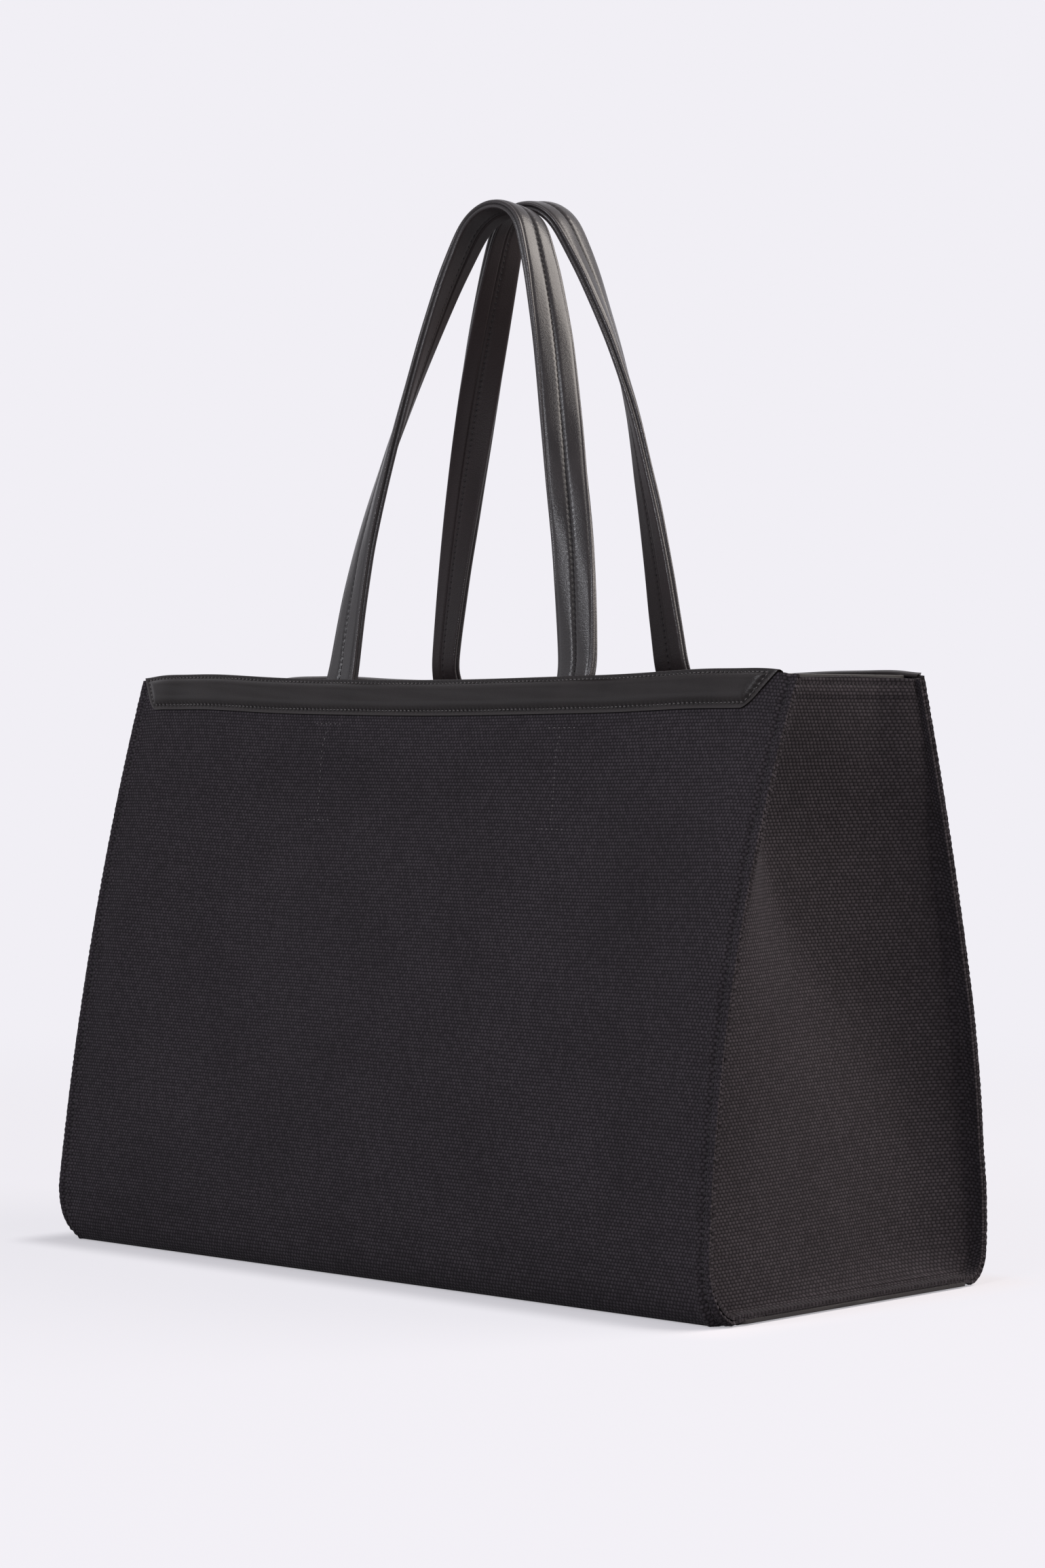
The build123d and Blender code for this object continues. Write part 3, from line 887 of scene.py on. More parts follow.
for sideWord, hand in ends.items():
    across = np.linspace(-1, 1, 30)
    out = np.linspace(0, base["turnInWidth"], 9)

    def placeTurnIn(share, inward):
        y = share * base["turnInReach"]
        x = hand * (halfSide(np.full_like(y, ply["base"])) - inward)
        z = np.full_like(y, ply["base"] + ply["canvas"] / 2)
        return np.stack([x, y, z], axis=-1), np.stack([y, inward], axis=-1)

    turnIn = layGrid(sideWord + "_turned_in_canvas", across, out, placeTurnIn)
    thicken(turnIn, ply["canvas"], base["turnInRounding"], offset=0)
    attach(dress(turnIn, canvasCloth, "canvas"), "bag")
print("base made")

# Leather bands along the mouth, padded between their stitch rows
band = {
    "height": 18.5,
    "cap": 1.4,
    "tip": 223.5,
    "shift": {-1: -4.5, 1: 4.5},  # each band is sewn on a little to its left
    "mitre": 14.0,
    "cornerRound": 7.0,
    "cornerCut": 0.55,
    "margin": 2.7,  # stitches from the bottom edge and the ends
    "topMargin": 2.3,
    "pad": 2.1,
    "padRise": 4.6,
    "stitchPitch": 2.9,
    "stitchScale": 0.72,
    "stitchLift": 0.2,
    "groove": 0.6,
    "grooveWidth": 0.75,
    "columnStep": 0.6,
    "softness": 0.22,
    "softReach": 0.7,
    "lipAt": (0.5, 0.55),  # worn line along the cut edge, painted lighter as wear and as a painted highlight
    "topRound": 1.6,
    "topIn": 0.35,
    "faceRows": 34,
    "backRows": 8,
    "backPlay": 0.06,
}
bandLow = rimRun - band["height"]
bandTall = band["height"] + band["cap"]
bandInside = ply["canvas"] + ply["gap"] + ply["facing"]
bandTopRow = bandTall - band["topMargin"]


# Half length of the band at a distance up from its lower edge, with a rounded lower corner
def bandEnd(up):
    slant = band["tip"] - band["mitre"] * (1 - up / bandTall)
    low = np.clip(1 - up / band["cornerRound"], 0, 1)
    return slant - band["cornerCut"] * band["cornerRound"] * (1 - np.sqrt(np.clip(1 - low**2, 0, 1)))


bandLean = math.hypot(bandTall, band["mitre"]) / bandTall
rowEnds = [float(bandEnd(up)) - band["margin"] * bandLean for up in (band["margin"], bandTopRow)]


def beatAlong(way, length):
    return np.cos(2 * math.pi * way / fitPitch(length, band["stitchPitch"]))


# One at the needle holes of the nearest row of stitches, minus one half way between them
def bandBeat(x, up, nearTop, nearEnd):
    lowEnd, topEnd = rowEnds
    lowWave = beatAlong(x + lowEnd, 2 * lowEnd)
    topWave = beatAlong(x + topEnd, 2 * topEnd)
    endWave = beatAlong((up - band["margin"]) * bandLean, (bandTopRow - band["margin"]) * bandLean)
    return np.where(nearEnd, endWave, np.where(nearTop, topWave, lowWave))


# Rise of the padded face, with the painted shade at each needle hole and the worn edge that is painted
# lighter, as wear and as a painted highlight
def bandPad(x, up):
    fromEnd = (bandEnd(up) - np.abs(x)) / bandLean
    fromLow, fromTop, fromSide = up - band["margin"], bandTopRow - up, fromEnd - band["margin"]
    sewn = np.minimum(np.minimum(fromLow, fromTop), fromSide)
    pad = 1 - (1 - np.clip(sewn / band["padRise"], 0, 1)) ** 2
    lean = 1 + 0.06 * np.sin(x / 29) + 0.02 * np.sin(x / 11.3 + up)
    beat = bandBeat(x, up, fromTop < fromLow, fromSide < np.minimum(fromLow, fromTop))
    groove = band["groove"] * hump(sewn, 0, band["grooveWidth"]) * (0.5 + 0.5 * beat)
    edge = np.minimum(up, fromEnd)
    softEdge = band["softness"] * np.exp(-edge / band["softReach"])
    # Painted shade in the needle holes
    holeShade = hump(sewn, 0, band["grooveWidth"]) * np.clip(0.25 + beat, 0, 1)
    return band["pad"] * pad * lean - groove - softEdge, holeShade, hump(edge, *band["lipAt"])


# The band's section as one loop: up its face (0), over the rim (1) and down behind it (2)
def bandLoop():
    top, foldEnd = bandTall, band["height"] + 0.05
    face = [0.0, 0.25, 0.6, *np.linspace(1.1, top - 1.6, band["faceRows"]), top - 1.1, top - 0.6]
    foldUp = [top - 0.2, top, top, top - 0.15, top - 0.5, foldEnd]
    foldDepth = [-0.75, -0.1, 1.6, bandInside - 0.3, bandInside, bandInside]
    back = np.linspace(foldEnd, 0.15, band["backRows"])
    up = [*face, *foldUp, *back, face[0]]
    kind = [0] * len(face) + [1] * len(foldUp) + [2] * len(back) + [0]
    depth = [0.0] * len(face) + foldDepth + [band["backPlay"]] * len(back) + [0.0]
    return np.array(up), np.array(kind), np.array(depth)


def paintPoints(piece, name, values):
    layer = piece.data.attributes.new(name, "FLOAT", "POINT")
    layer.data.foreach_set("value", values.astype(np.float32))


def makeBand(name, side):
    loopUp, loopKind, loopDepth = bandLoop()
    step = band["columnStep"] / band["tip"]
    share = bothEnds(2.0, step, step, 1.0) - 1.0
    marks = {}

    def place(spot, across):
        up, kind = loopUp[spot], loopKind[spot]
        x = across * bandEnd(up)
        rise, holeShade, lip = bandPad(x, up)
        depth = np.where(kind == 0, -ply["band"] - rise, loopDepth[spot])
        top = np.clip((up - bandTall + band["topRound"]) / band["topRound"], 0, 1)
        depth = np.where(kind == 0, depth + band["topIn"] * top**2, depth)
        # Cut edge and fold over the rim painted lighter, as wear and as a painted highlight
        marks["wearAndHighlight"] = np.where(kind == 0, lip, 0) + 0.4 * (kind == 1)
        marks["pressedShade"] = np.where(kind == 0, holeShade, 0)
        cloth = np.stack([x, up + kind * 20.0], axis=-1)
        return wallPlace(side, x + band["shift"][side], bandLow + up, depth), cloth

    piece = layGrid(name, np.arange(len(loopUp)), share, place)
    for key, values in marks.items():
        paintPoints(piece, key, values)
    closeUp(piece)
    return dress(piece, bandLeather, "leather")


def bandLine(side, x, up):
    depth = -ply["band"] - bandPad(x, up)[0] - band["stitchLift"]
    x = x + band["shift"][side]
    low = wallPlace(side, x, bandLow + up, depth)
    return low, wallPlace(side, x, bandLow + up, depth - 1.0) - low


for word, side in walls.items():
    leatherBand = makeBand(word + "_leather_band", side)
    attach(leatherBand, "bag")
    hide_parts(word + "_top_band", word + "_band_filler")
    lowUp = np.linspace(band["margin"], bandTopRow, 40)
    endX = bandEnd(lowUp) - band["margin"] * bandLean
    rows = {
        "lower": (np.linspace(-endX[0], endX[0], 500), np.full(500, band["margin"])),
        "upper": (np.linspace(-endX[-1], endX[-1], 500), np.full(500, bandTopRow)),
        "left_end": (-endX[1:-1], lowUp[1:-1]),
        "right_end": (endX[1:-1], lowUp[1:-1]),
    }
    for rowWord, (x, up) in rows.items():
        line, normals = bandLine(side, x, up)
        name, pitch, scale = f"{word}_band_{rowWord}_stitches", band["stitchPitch"], band["stitchScale"]
        # Band stitches in thread painted light grey as their highlight
        sewOnBag(name, line, normals, pitch, sheenPaintedThread, "leather", scale=scale)
print("bands sewn")

# Inside: leather facings below the mouth, cloth lining under them and on the base
inside = {
    "facingHeight": 86.0,
    "rowStep": 5.0,
    "wallColumns": 93,
    "webColumns": 41,
    "sideIn": 2.2,
    "webIn": 4.6,
    "facingRise": 0.7,
    "parting": 0.2,  # between a facing and the lining below it
    "lapIn": 1.0,
    "webUp": 1.5,
    "rounding": 0.25,
    "boardThick": 2.0,
    "floorHalf": (219.0, 79.5),
    "floorGrid": (60, 24),
    "floorPlay": 0.3,
    "floorRipple": 0.25,
    "floorRounding": 0.2,
}
insideFinish = {"facing": (facingLeather, "leather"), "lining": (liningCloth, "lining")}
facingZ = canvasTop - inside["facingHeight"]
facingLow = float(runAt(facingZ))
plyFace = ply["canvas"] + ply["gap"]


def insideRows(low, high):
    return np.linspace(low, high, max(8, int((high - low) / inside["rowStep"])))


def makeWallSheet(name, side, kind, lowRun, highRun):
    def place(across, run):
        half = halfSide(wallLine(run)[1]) - gusset["flange"] - ply["canvas"] - inside["sideIn"]
        x = side * across * half
        return wallPlace(side, x, run, plyFace + ply[kind]), np.stack([x, run], axis=-1)

    share = np.linspace(-1, 1, inside["wallColumns"])
    piece = layGrid(name, share, insideRows(lowRun, highRun), place)
    thicken(piece, -ply[kind], inside["rounding"])
    return dress(piece, *insideFinish[kind])


def makeWebSheet(name, hand, kind, low, high):
    def place(across, height):
        y = across * (halfDepth(height) - inside["webIn"])
        x = halfSide(height) - gusset["flange"] - webDraw(y, height) - plyFace
        points = np.stack([hand * x, y + backShift(y, height), height], axis=-1)
        return points, np.stack([y, height], axis=-1)

    share = np.linspace(-1, 1, inside["webColumns"])[::hand]
    piece = layGrid(name, share, insideRows(low, high), place)
    thicken(piece, ply[kind], inside["rounding"])
    return dress(piece, *insideFinish[kind])


wallLow, wallHigh = wall["lap"] + inside["lapIn"], facingLow - inside["parting"]
for word, side in walls.items():
    facing = makeWallSheet(word + "_leather_facing", side, "facing", facingLow, rimRun)
    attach(facing, "bag")
    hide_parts(word + "_facing")
    lining = makeWallSheet(word + "_cloth_lining", side, "lining", wallLow, wallHigh)
    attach(lining, "bag")
    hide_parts(word + "_lining")
webLow, webHigh = webFloor + inside["webUp"], facingZ - inside["parting"]
webRim = gussetTop + inside["facingRise"]
for sideWord, hand in ends.items():
    facing = makeWebSheet(sideWord + "_gusset_leather_facing", hand, "facing", facingZ, webRim)
    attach(facing, "bag")
    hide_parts(sideWord + "_gusset_facing")
    lining = makeWebSheet(sideWord + "_gusset_cloth_lining", hand, "lining", webLow, webHigh)
    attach(lining, "bag")
    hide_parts(sideWord + "_gusset_lining")


def makeFloorLining():
    halfX, halfY = inside["floorHalf"]
    columns, rows = inside["floorGrid"]
    level = ply["base"] + inside["boardThick"] + ply["gap"] + ply["lining"] + inside["floorPlay"]

    def place(across, along):
        x, y = across * halfX, along * halfY
        ripple = inside["floorRipple"] * np.sin(x / 26 + np.sin(y / 21)) * np.cos(y / 33)
        return np.stack([x, y, level + ripple], axis=-1), np.stack([x, y], axis=-1)

    piece = layGrid("base_cloth_lining", np.linspace(-1, 1, columns), np.linspace(-1, 1, rows), place)
    thicken(piece, ply["lining"], inside["floorRounding"])
    return dress(piece, *insideFinish["lining"])


floorLining = makeFloorLining()
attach(floorLining, "bag")
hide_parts("base_lining")
print("inside lined")

# Strap handles: sewn ends on the facing, legs that turn a quarter, flat crowns side by side
strap = {
    "width": 21.0,
    "lobe": 2.6,
    "valley": 1.95,
    "back": 2.6,
    "endLength": 76.0,
    "legRadius": 848.0,
    "leanFoot": 7.0,
    "leanCrown": 23.0,
    "crownRadius": 23.4,
    "footRise": 4.0,
    "footPlay": 2.4,
    "twistEase": 0.06,
    "meetY": 8.0,
    "gap": 1.0,
    "bow": {-1: 2.0, 1: 5.0},
    "footTwist": {(-1, -1): 6.0, (-1, 1): 6.0, (1, -1): -14.0, (1, 1): 2.0},
    "twistPower": {(-1, -1): 1.2, (-1, 1): 1.0, (1, -1): 1.45, (1, 1): 1.3},
    "spots": (0.0, 0.2, 0.34, 0.48, 0.61, 0.74, 0.87, 1.0),  # shares of the way down from the crown
    "sideways": {
        (-1, -1): (0.0, 2.6, 2.4, 2.5, 3.3, 4.0, 2.6, 0.5),
        (-1, 1): (0.0, 1.8, 1.5, 0.0, -0.8, 0.0, 0.0, 0.0),
        (1, -1): (0.0, 0.0, 0.0, 0.0, 0.0, 0.0, 0.0, 0.0),
        (1, 1): (0.0, 3.2, 3.2, 1.6, -1.6, -3.2, -4.2, -3.6),
    },
    "crownLift": {-1: 0.0, 1: 1.1},
    "crownShare": 0.4,
    "footCut": 4.0,
    "sewnFrom": 7.0,
    "step": 0.8,
    "soften": 5.0,
    "crestAt": 3.6,
    "crestPower": 0.8,
    "slope": 0.3,  # each lobe falls towards its rim
    "slopeFrom": (4.6, 3.6),
    "stitchPitch": 3.2,
    "outerAbove": 0.4,  # levels of the section that belong to each face
    "innerBelow": -2.3,
    "outerRow": {"out": -0.25, "sink": 0.0, "scale": 0.95},
    "innerRow": {"out": -0.2, "sink": 0.05, "scale": 0.85},
    "press": (0.25, 0.4),  # along the valley, and more at each needle hole
    "pressWidth": 0.8,
    "pucker": 0.14,
    "puckerAt": (1.7, 1.0),
    "foldAt": 2.4,
    "fold": 0.3,
    "foldGroove": 0.45,
    "foldGrooveAt": (2.2, 0.42),
    "crease": (0.1, 0.07),
    # strap edges painted lighter, as wear and as a painted highlight
    "wearAndHighlight": 0.8,
    "wearAndHighlightAt": (10.2, 0.7),
    # painted shade in the groove where the two plies meet at each edge
    "seamShadeAmount": 0.8,
    "seamAt": (-0.3, 0.35),
    "seamOut": 9.6,
}
strapFace = ply["canvas"] + 2 * ply["gap"] + ply["facing"]
crownTurn = math.radians(90 - strap["leanCrown"])
crownRun = strap["crownRadius"] * crownTurn
halfRun = crownRun + strap["legRadius"] * math.radians(strap["leanCrown"] - strap["leanFoot"])


# Half arch measured down from the crown: sideways reach, drop and heading
def archPoint(run):
    onCrown = run <= crownRun
    small, large = strap["crownRadius"], strap["legRadius"]
    heading = np.where(onCrown, run / small, crownTurn + (run - crownRun) / large)
    legWay = small * np.sin(crownTurn) + large * (np.sin(heading) - np.sin(crownTurn))
    legDrop = small * (1 - np.cos(crownTurn)) + large * (np.cos(crownTurn) - np.cos(heading))
    sideways = np.where(onCrown, small * np.sin(heading), legWay)
    drop = np.where(onCrown, small * (1 - np.cos(heading)), legDrop)
    return sideways, drop, heading


footReach, handleRise = (float(value) for value in archPoint(np.array(halfRun))[:2])
rimAngle = cornerTurn + (rimRun - cornerEnd) / wallRadius
footDepth = strapFace + strap["footPlay"] + strap["lobe"]
footY = wallY + (wallRadius - footDepth) * math.cos(rimAngle) - strap["footRise"] * math.sin(rimAngle)
footZ = wallZ + (wallRadius - footDepth) * math.sin(rimAngle) + strap["footRise"] * math.cos(rimAngle)


# One leg from the crown down to its sewn end: centre line and width direction
def legLine(side, facing):
    crownY = strap["meetY"] + side * (strap["gap"] + strap["width"]) / 2
    lean = math.asin((crownY - side * footY) / handleRise)
    upward = np.array([0.0, math.sin(lean), math.cos(lean)])
    across = np.array([0.0, -side * math.cos(lean), side * math.sin(lean)])
    run = np.linspace(0, halfRun - strap["footCut"], 420)
    sideways, drop, heading = archPoint(run)
    part = run / halfRun
    shift = strap["sideways"][side, facing]
    sideways = sideways + np.interp(part, strap["spots"], shift)
    lift = strap["crownLift"][side] * ease(1 - part / strap["crownShare"])
    centre = np.array([0.0, side * footY, footZ]) + upward * (handleRise - drop + lift)[:, None]
    centre = centre - across * (strap["bow"][side] * np.sin(math.pi * drop / handleRise))[:, None]
    centre[:, 0] = facing * sideways
    outward = upward * np.cos(heading)[:, None]
    outward[:, 0] = facing * np.sin(heading)
    easeIn = strap["twistEase"]
    turned = (np.sqrt(part**2 + easeIn**2) - easeIn) / (math.sqrt(1 + easeIn**2) - easeIn)
    foot, power = strap["footTwist"][side, facing], strap["twistPower"][side, facing]
    twist = np.radians(foot + (90 - foot) * (1 - turned) ** power)
    widthWay = outward * np.cos(twist)[:, None] + across * np.sin(twist)[:, None]
    sewnRuns = rimRun - np.linspace(strap["sewnFrom"], strap["endLength"], 120)
    sewnX = np.full_like(sewnRuns, facing * (footReach + shift[-1]))
    sewn = wallPlace(side, sewnX, sewnRuns, strapFace + strap["lobe"])
    sewnWay = np.tile([float(facing), 0.0, 0.0], (len(sewnRuns), 1))
    return np.concatenate([centre, sewn]), np.concatenate([widthWay, sewnWay])


# Averages neighbours along a line, holding its ends
def soften(values, samples):
    window = np.exp(-0.5 * (np.arange(-3 * samples, 3 * samples + 1) / samples) ** 2)
    window = window / window.sum()
    before = 2 * values[:1] - values[3 * samples : 0 : -1]
    after = 2 * values[-1:] - values[-2 : -3 * samples - 2 : -1]
    padded = np.concatenate([before, values, after])
    return np.stack([np.convolve(padded[:, k], window, "valid") for k in range(3)], axis=-1)


def strapLine(side):
    leftLine, leftWay = legLine(side, -1)
    rightLine, rightWay = legLine(side, 1)
    centre = np.concatenate([leftLine[:0:-1], rightLine])
    way = np.concatenate([leftWay[:0:-1], rightWay])
    reach = lengthAlong(centre)
    spots = np.linspace(0, reach[-1], int(reach[-1] / strap["step"]) + 1)
    centre, way = spread(centre, reach, spots), spread(way, reach, spots)
    samples = int(strap["soften"] / strap["step"])
    centre, way = soften(centre, samples), soften(way, samples)
    ahead = unit(np.gradient(centre, axis=0))
    way = squareTo(ahead, way)
    return centre, way, -side * np.cross(ahead, way), spots


# Half width and height of the strap's section, from the valley round the edge to the fold inside
def strapSection():
    edge, back = strap["width"] / 2, strap["back"]
    foldLevel = -back + 0.05
    across = np.concatenate([[0.0, 0.45, 0.9, 1.5], np.linspace(2.2, 8.2, 9)])
    crest = np.sin(np.clip(across / strap["crestAt"], 0, 1) * math.pi / 2) ** strap["crestPower"]
    slopeStart, slopeLength = strap["slopeFrom"]
    slope = strap["slope"] * np.clip((across - slopeStart) / slopeLength, 0, 1) ** 2
    outer = strap["valley"] + (strap["lobe"] - strap["valley"]) * crest - slope
    upperRim = [(8.75, 1.92), (9.1, 1.78), (9.5, 1.86), (9.95, 1.8), (10.3, 1.45), (edge, 0.95), (10.42, 0.4)]
    seam = [(10.05, 0.0), (9.85, -0.3), (10.1, -0.62)]
    lowerRim = [(10.42, -1.0), (edge, -1.5), (10.35, -2.05), (9.95, -2.45), (9.3, -back)]
    inner = [(w, foldLevel) for w in (7.8, 6.2, 4.6, 3.4, 2.9, 2.4, 2.0, 1.4, 0.8)]
    right = [*zip(across, outer), *upperRim, *seam, *lowerRim, *inner]
    left = [(-w, h) for w, h in right[:0:-1]]
    return np.array([*right, (0.0, foldLevel), *left, right[0]])


def makeStrap(word, side):
    centre, way, up, spots = strapLine(side)
    loop = strapSection()
    girth = lengthAlong(loop)
    pitch = fitPitch(spots[-1], strap["stitchPitch"])
    marks = {}

    def place(spot, step):
        w, h = loop[spot, 0], loop[spot, 1]
        along = spots[step]
        beat = 0.5 + 0.5 * np.cos(2 * math.pi * along / pitch)
        outside, within = h > strap["outerAbove"], h < strap["innerBelow"]
        # Painted shade along the stitched valley, less at each needle hole
        sewn = np.where(outside | within, hump(w, 0, 0.6), 0) * (0.45 - 0.3 * beat)
        # Painted shade in the groove where the plies meet at each edge
        seamShade = strap["seamShadeAmount"] * hump(h, *strap["seamAt"]) * (np.abs(w) > strap["seamOut"])
        # Edges painted lighter, as wear and as a painted highlight
        marks["wearAndHighlight"] = hump(np.abs(w), *strap["wearAndHighlightAt"]) * strap["wearAndHighlight"]
        marks["inner"] = 1.0 * within
        marks["pressedShade"] = sewn + seamShade
        level, deeper = strap["press"]
        press = hump(w, 0, strap["pressWidth"]) * (level + deeper * beat)
        pucker = strap["pucker"] * hump(np.abs(w), *strap["puckerAt"]) * (1 - beat)
        fold = np.where(w > strap["foldAt"], strap["fold"], 0.0)
        fold = fold - strap["foldGroove"] * hump(w, *strap["foldGrooveAt"])
        long, short = strap["crease"]
        drift = long * np.sin(along / 17 + w / 4) + short * np.sin(along / 7.1 - w / 3)
        h = h + np.where(outside, pucker - press + drift, 0)
        h = h - np.where(within, fold - press * 0.7 * (np.abs(w) < 2), 0)
        points = centre[step] + way[step] * w[:, None] + up[step] * h[:, None]
        return points, np.stack([girth[spot], along], axis=-1)

    def sewStrap(rowWord, level, normals, row):
        line = centre + normals * (level + row["out"])
        name = f"{word}_strap_{rowWord}_stitches"
        sewn = sewRow(name, line, normals, strap["stitchPitch"], row["sink"], row["scale"])
        return dress(sewn, blackThread, "leather")

    piece = layGrid(word + "_strap", np.arange(len(loop)), np.arange(len(spots)), place)
    for key, values in marks.items():
        paintPoints(piece, key, values)
    closeUp(piece)
    dress(piece, strapLeather, "leather")
    piece.data.materials.append(strapBack)
    back = np.empty(len(piece.data.vertices), np.float32)
    piece.data.attributes["inner"].data.foreach_get("value", back)
    for face in piece.data.polygons:
        face.material_index = int(min(back[i] for i in face.vertices))
    outerRow = sewStrap("outer", strap["valley"], up, strap["outerRow"])
    innerRow = sewStrap("inner", strap["back"], -up, strap["innerRow"])
    return piece, outerRow, innerRow


bend = {"low": 286.0, "high": 314.0}
for word, side in walls.items():
    strapPieces = makeStrap(word, side)
    handle = word + "_handle"
    low, high = ((0, side * footY * mm, bend[level] * mm) for level in ("low", "high"))
    for piece in strapPieces:
        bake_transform(piece)
    parts = [f"{handle}_{name}" for name in ("outer", "filler", "inner", "left_end", "right_end")]
    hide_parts(*parts)
print("straps made")

# Stitching that holds the strap ends, two bars and a post on the canvas
anchor = {
    "topZ": 274.0,
    "lowZ": 226.0,
    "barHalf": 10.0,
    "postIn": 3.0,
    "aside": 4.0,
    "raise": {-1: 2.5, 1: 0.5},
    "pitch": 3.5,
    "sink": -0.15,
    "scale": 0.5,
}
for word, side in walls.items():
    for sideWord, hand in ends.items():
        middle = hand * footReach + anchor["aside"]
        top, low = anchor["topZ"] + anchor["raise"][hand], anchor["lowZ"] + anchor["raise"][hand]
        bar = np.linspace(-anchor["barHalf"], anchor["barHalf"], 40)
        post = runAt(np.linspace(top - anchor["postIn"], low + anchor["postIn"], 60))
        lines = {
            "top": (middle + bar, np.full(40, runAt(top))),
            "low": (middle + bar, np.full(40, runAt(low))),
            "post": (np.full(60, middle), post),
        }
        for lineWord, (x, run) in lines.items():
            name = f"{word}_{sideWord}_anchor_{lineWord}_stitches"
            sewOnWall(name, side, x, run, anchor["pitch"], paleThread, anchor["sink"], anchor["scale"])
print("strap ends sewn")

# Stage: one pale floor and backdrop tone, soft lamps and the camera of the photograph
stage = {
    "backdrop": shade(241, 239, 245),
    "floorTone": shade(206, 204, 209),
    "bounceTone": shade(136, 134, 137),  # what the floor throws back on the bag
    "floorGlow": 0.88,
    "contactGlow": 0.45,  # less glow close to the bag, where its shadow is deepest
    "contactReach": 0.03,
    "shadowReach": (0.5, 1.6),
    "floorSize": 60.0,
    "floorDrop": 0.0002,
    "ambient": 0.09,
    "ambientTone": (1.0, 0.97, 0.95, 1.0),
    "aimHeight": 0.25,
}


def seenDirectly(start):
    path = start.node("LightPath")
    straight = start.maths("MAXIMUM", path.pick("Is Camera Ray"), path.pick("Is Glossy Ray"))
    return start.maths("MAXIMUM", straight, path.pick("Is Transmission Ray"))


def makeFloor():
    bpy.ops.object.select_all(action="DESELECT")
    bpy.ops.mesh.primitive_plane_add(size=stage["floorSize"], location=(0, 0, -stage["floorDrop"]))
    floor = bpy.context.object
    floor.name = "floor"
    finish = bpy.data.materials.new("floorPaper")
    finish.use_nodes = True
    tree = finish.node_tree
    tree.nodes.clear()
    start = Signal(tree)
    paper = start.node("BsdfDiffuse", {}, {"Color": stage["floorTone"]})
    glow = start.node("Emission", {}, {"Color": stage["backdrop"], "Strength": 1.0})
    place = start.node("TexCoord", out="Object")
    away = start.node("VectorMath", {"operation": "LENGTH"}, {0: place}, out="Value")
    smooth = {"interpolation_type": "SMOOTHSTEP"}
    nearest, farthest = stage["shadowReach"]
    far = start.node("MapRange", smooth, {0: away, 1: nearest, 2: farthest})
    bounce = start.node("BsdfDiffuse", {}, {"Color": stage["bounceTone"]})
    footprint = (halfLength * mm, cadBox[1][1], 0)
    folded = start.node("VectorMath", {"operation": "ABSOLUTE"}, {0: place})
    outside = start.node("VectorMath", {"operation": "SUBTRACT"}, {0: folded, 1: footprint})
    outside = start.node("VectorMath", {"operation": "MAXIMUM"}, {0: outside, 1: (0, 0, 0)})
    outside = start.node("VectorMath", {"operation": "LENGTH"}, {0: outside}, out="Value")
    clear = start.node("MapRange", smooth, {0: outside, 1: 0.0, 2: stage["contactReach"]})
    near = stage["contactGlow"] + clear * (stage["floorGlow"] - stage["contactGlow"])
    share = near + far * (1 - stage["floorGlow"])
    seen = start.node("MixShader", {}, {0: share, 1: paper, 2: glow})
    mixed = start.node("MixShader", {}, {0: seenDirectly(start), 1: bounce, 2: seen})
    start.node("OutputMaterial", {}, {0: mixed})
    floor.data.materials.append(finish)


def makeWorld():
    world = bpy.data.worlds.new("studio")
    bpy.context.scene.world = world
    world.use_nodes = True
    tree = world.node_tree
    tree.nodes.clear()
    start = Signal(tree)
    around = start.node("Background", {}, {"Color": stage["ambientTone"], "Strength": stage["ambient"]})
    paper = start.node("Background", {}, {"Color": stage["backdrop"], "Strength": 1.0})
    mixed = start.node("MixShader", {}, {0: seenDirectly(start), 1: around, 2: paper})
    start.node("OutputWorld", {}, {0: mixed})


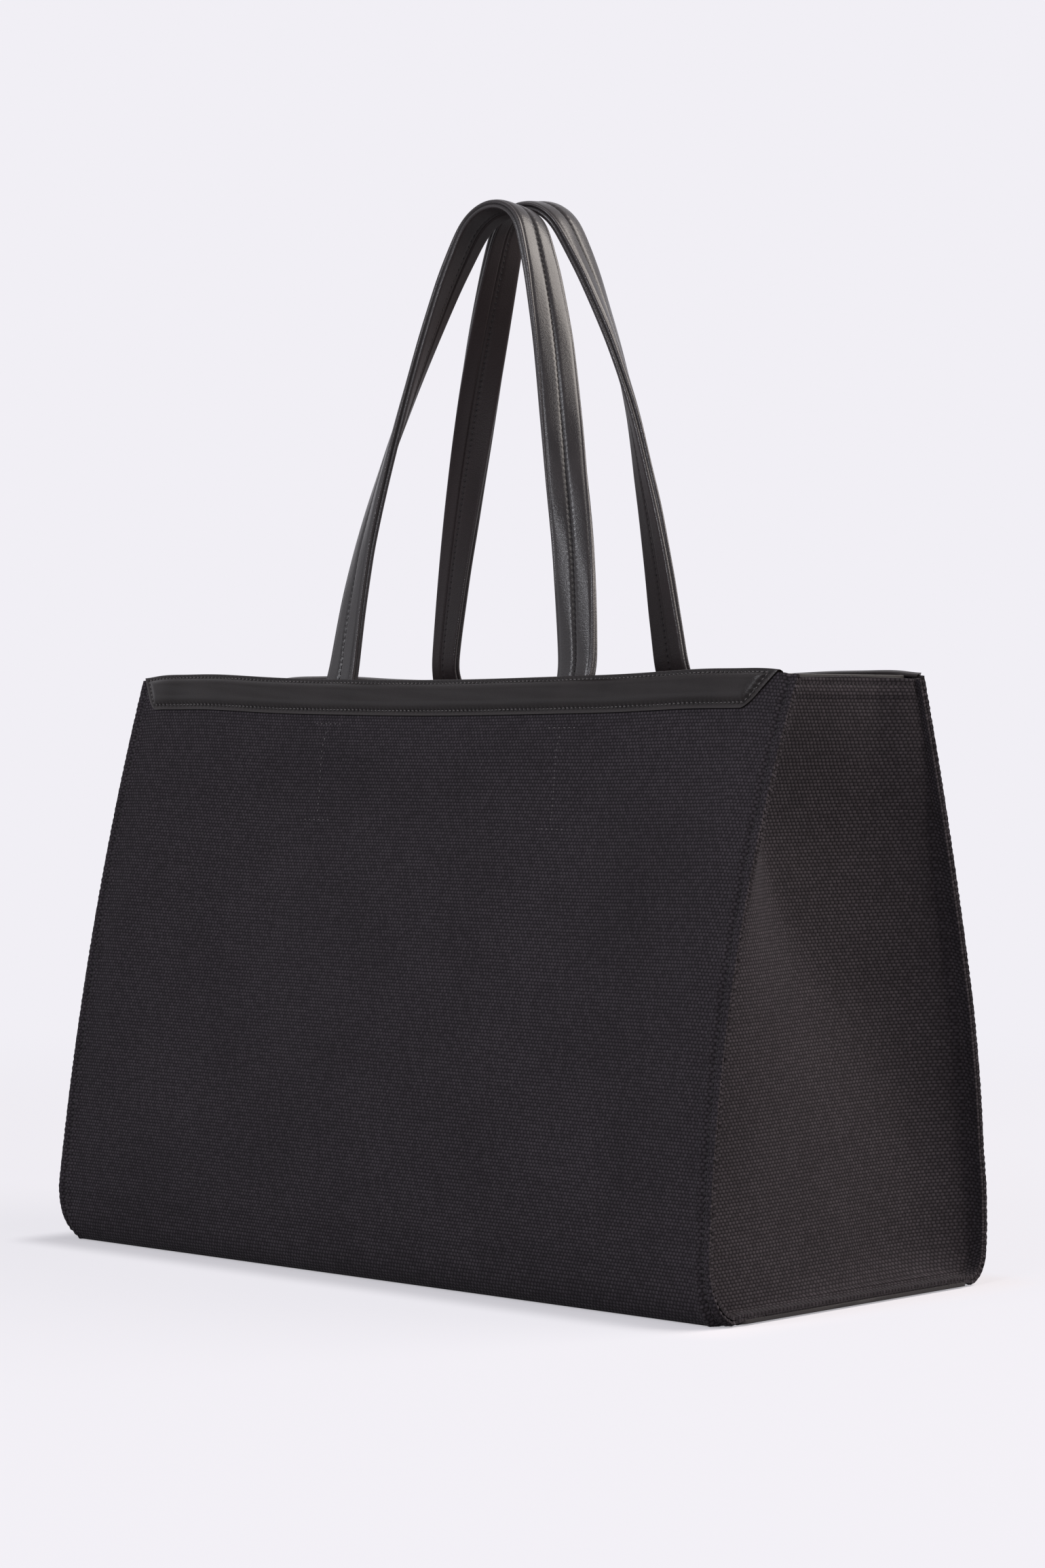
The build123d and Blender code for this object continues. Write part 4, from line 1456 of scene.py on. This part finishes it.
lamps = {
    "keySoftbox": {"place": (1.6, 1.49, 1.84), "size": 2.2, "power": 148.0, "tone": (1.0, 0.93, 0.87)},
    "highSoftbox": {"place": (-0.11, -2.12, 1.91), "size": 0.7, "power": 34.0, "tone": (0.93, 0.94, 1.0)},
    "frontSoftbox": {"place": (0.68, -2.55, 0.81), "size": 0.5, "power": 30.0, "tone": (0.95, 0.95, 1.0)},
    "sideSoftbox": {"place": (2.3, -0.4, 1.8), "size": 0.6, "power": 12.0, "tone": (1.0, 0.96, 0.93)},
    "leftSoftbox": {"place": (-1.8, -1.95, 0.45), "size": 2.2, "power": 14.0, "tone": (0.93, 0.94, 1.0)},
}


def makeLamps():
    for name, lamp in lamps.items():
        bpy.ops.object.light_add(type="AREA", location=lamp["place"])
        light = bpy.context.object
        light.name = name
        light.data.size = lamp["size"]
        light.data.energy = lamp["power"]
        light.data.color = lamp["tone"]
        aim = Vector((0, 0, stage["aimHeight"])) - Vector(lamp["place"])
        light.rotation_euler = aim.to_track_quat("-Z", "Y").to_euler()


view = {
    "lens": 89.56,
    "sensor": 36.0,
    "yaw": 43.36,
    "pitch": -0.913,
    "aside": 7.18,
    "away": 1999.7,
    "height": 276.3,
    "clip": (0.05, 100),
}


def makeCamera():
    yaw, pitch = math.radians(view["yaw"]), math.radians(view["pitch"])
    right = Vector((math.cos(yaw), math.sin(yaw), 0))
    level = Vector((-math.sin(yaw), math.cos(yaw), 0))
    ahead = level * math.cos(pitch) + Vector((0, 0, math.sin(pitch)))
    upward = right.cross(ahead)
    place = (right * view["aside"] - level * view["away"] + Vector((0, 0, view["height"]))) * mm
    data = bpy.data.cameras.new("camera")
    data.lens = view["lens"]
    data.sensor_width = view["sensor"]
    data.clip_start, data.clip_end = view["clip"]
    camera = bpy.data.objects.new("camera", data)
    bpy.context.scene.collection.objects.link(camera)
    turn = Matrix((right, upward, -ahead)).transposed().to_4x4()
    camera.matrix_world = Matrix.Translation(place) @ turn
    bpy.context.scene.camera = camera


makeFloor()
makeWorld()
makeLamps()
makeCamera()
bpy.context.scene.view_settings.view_transform = "Standard"
print("stage set")
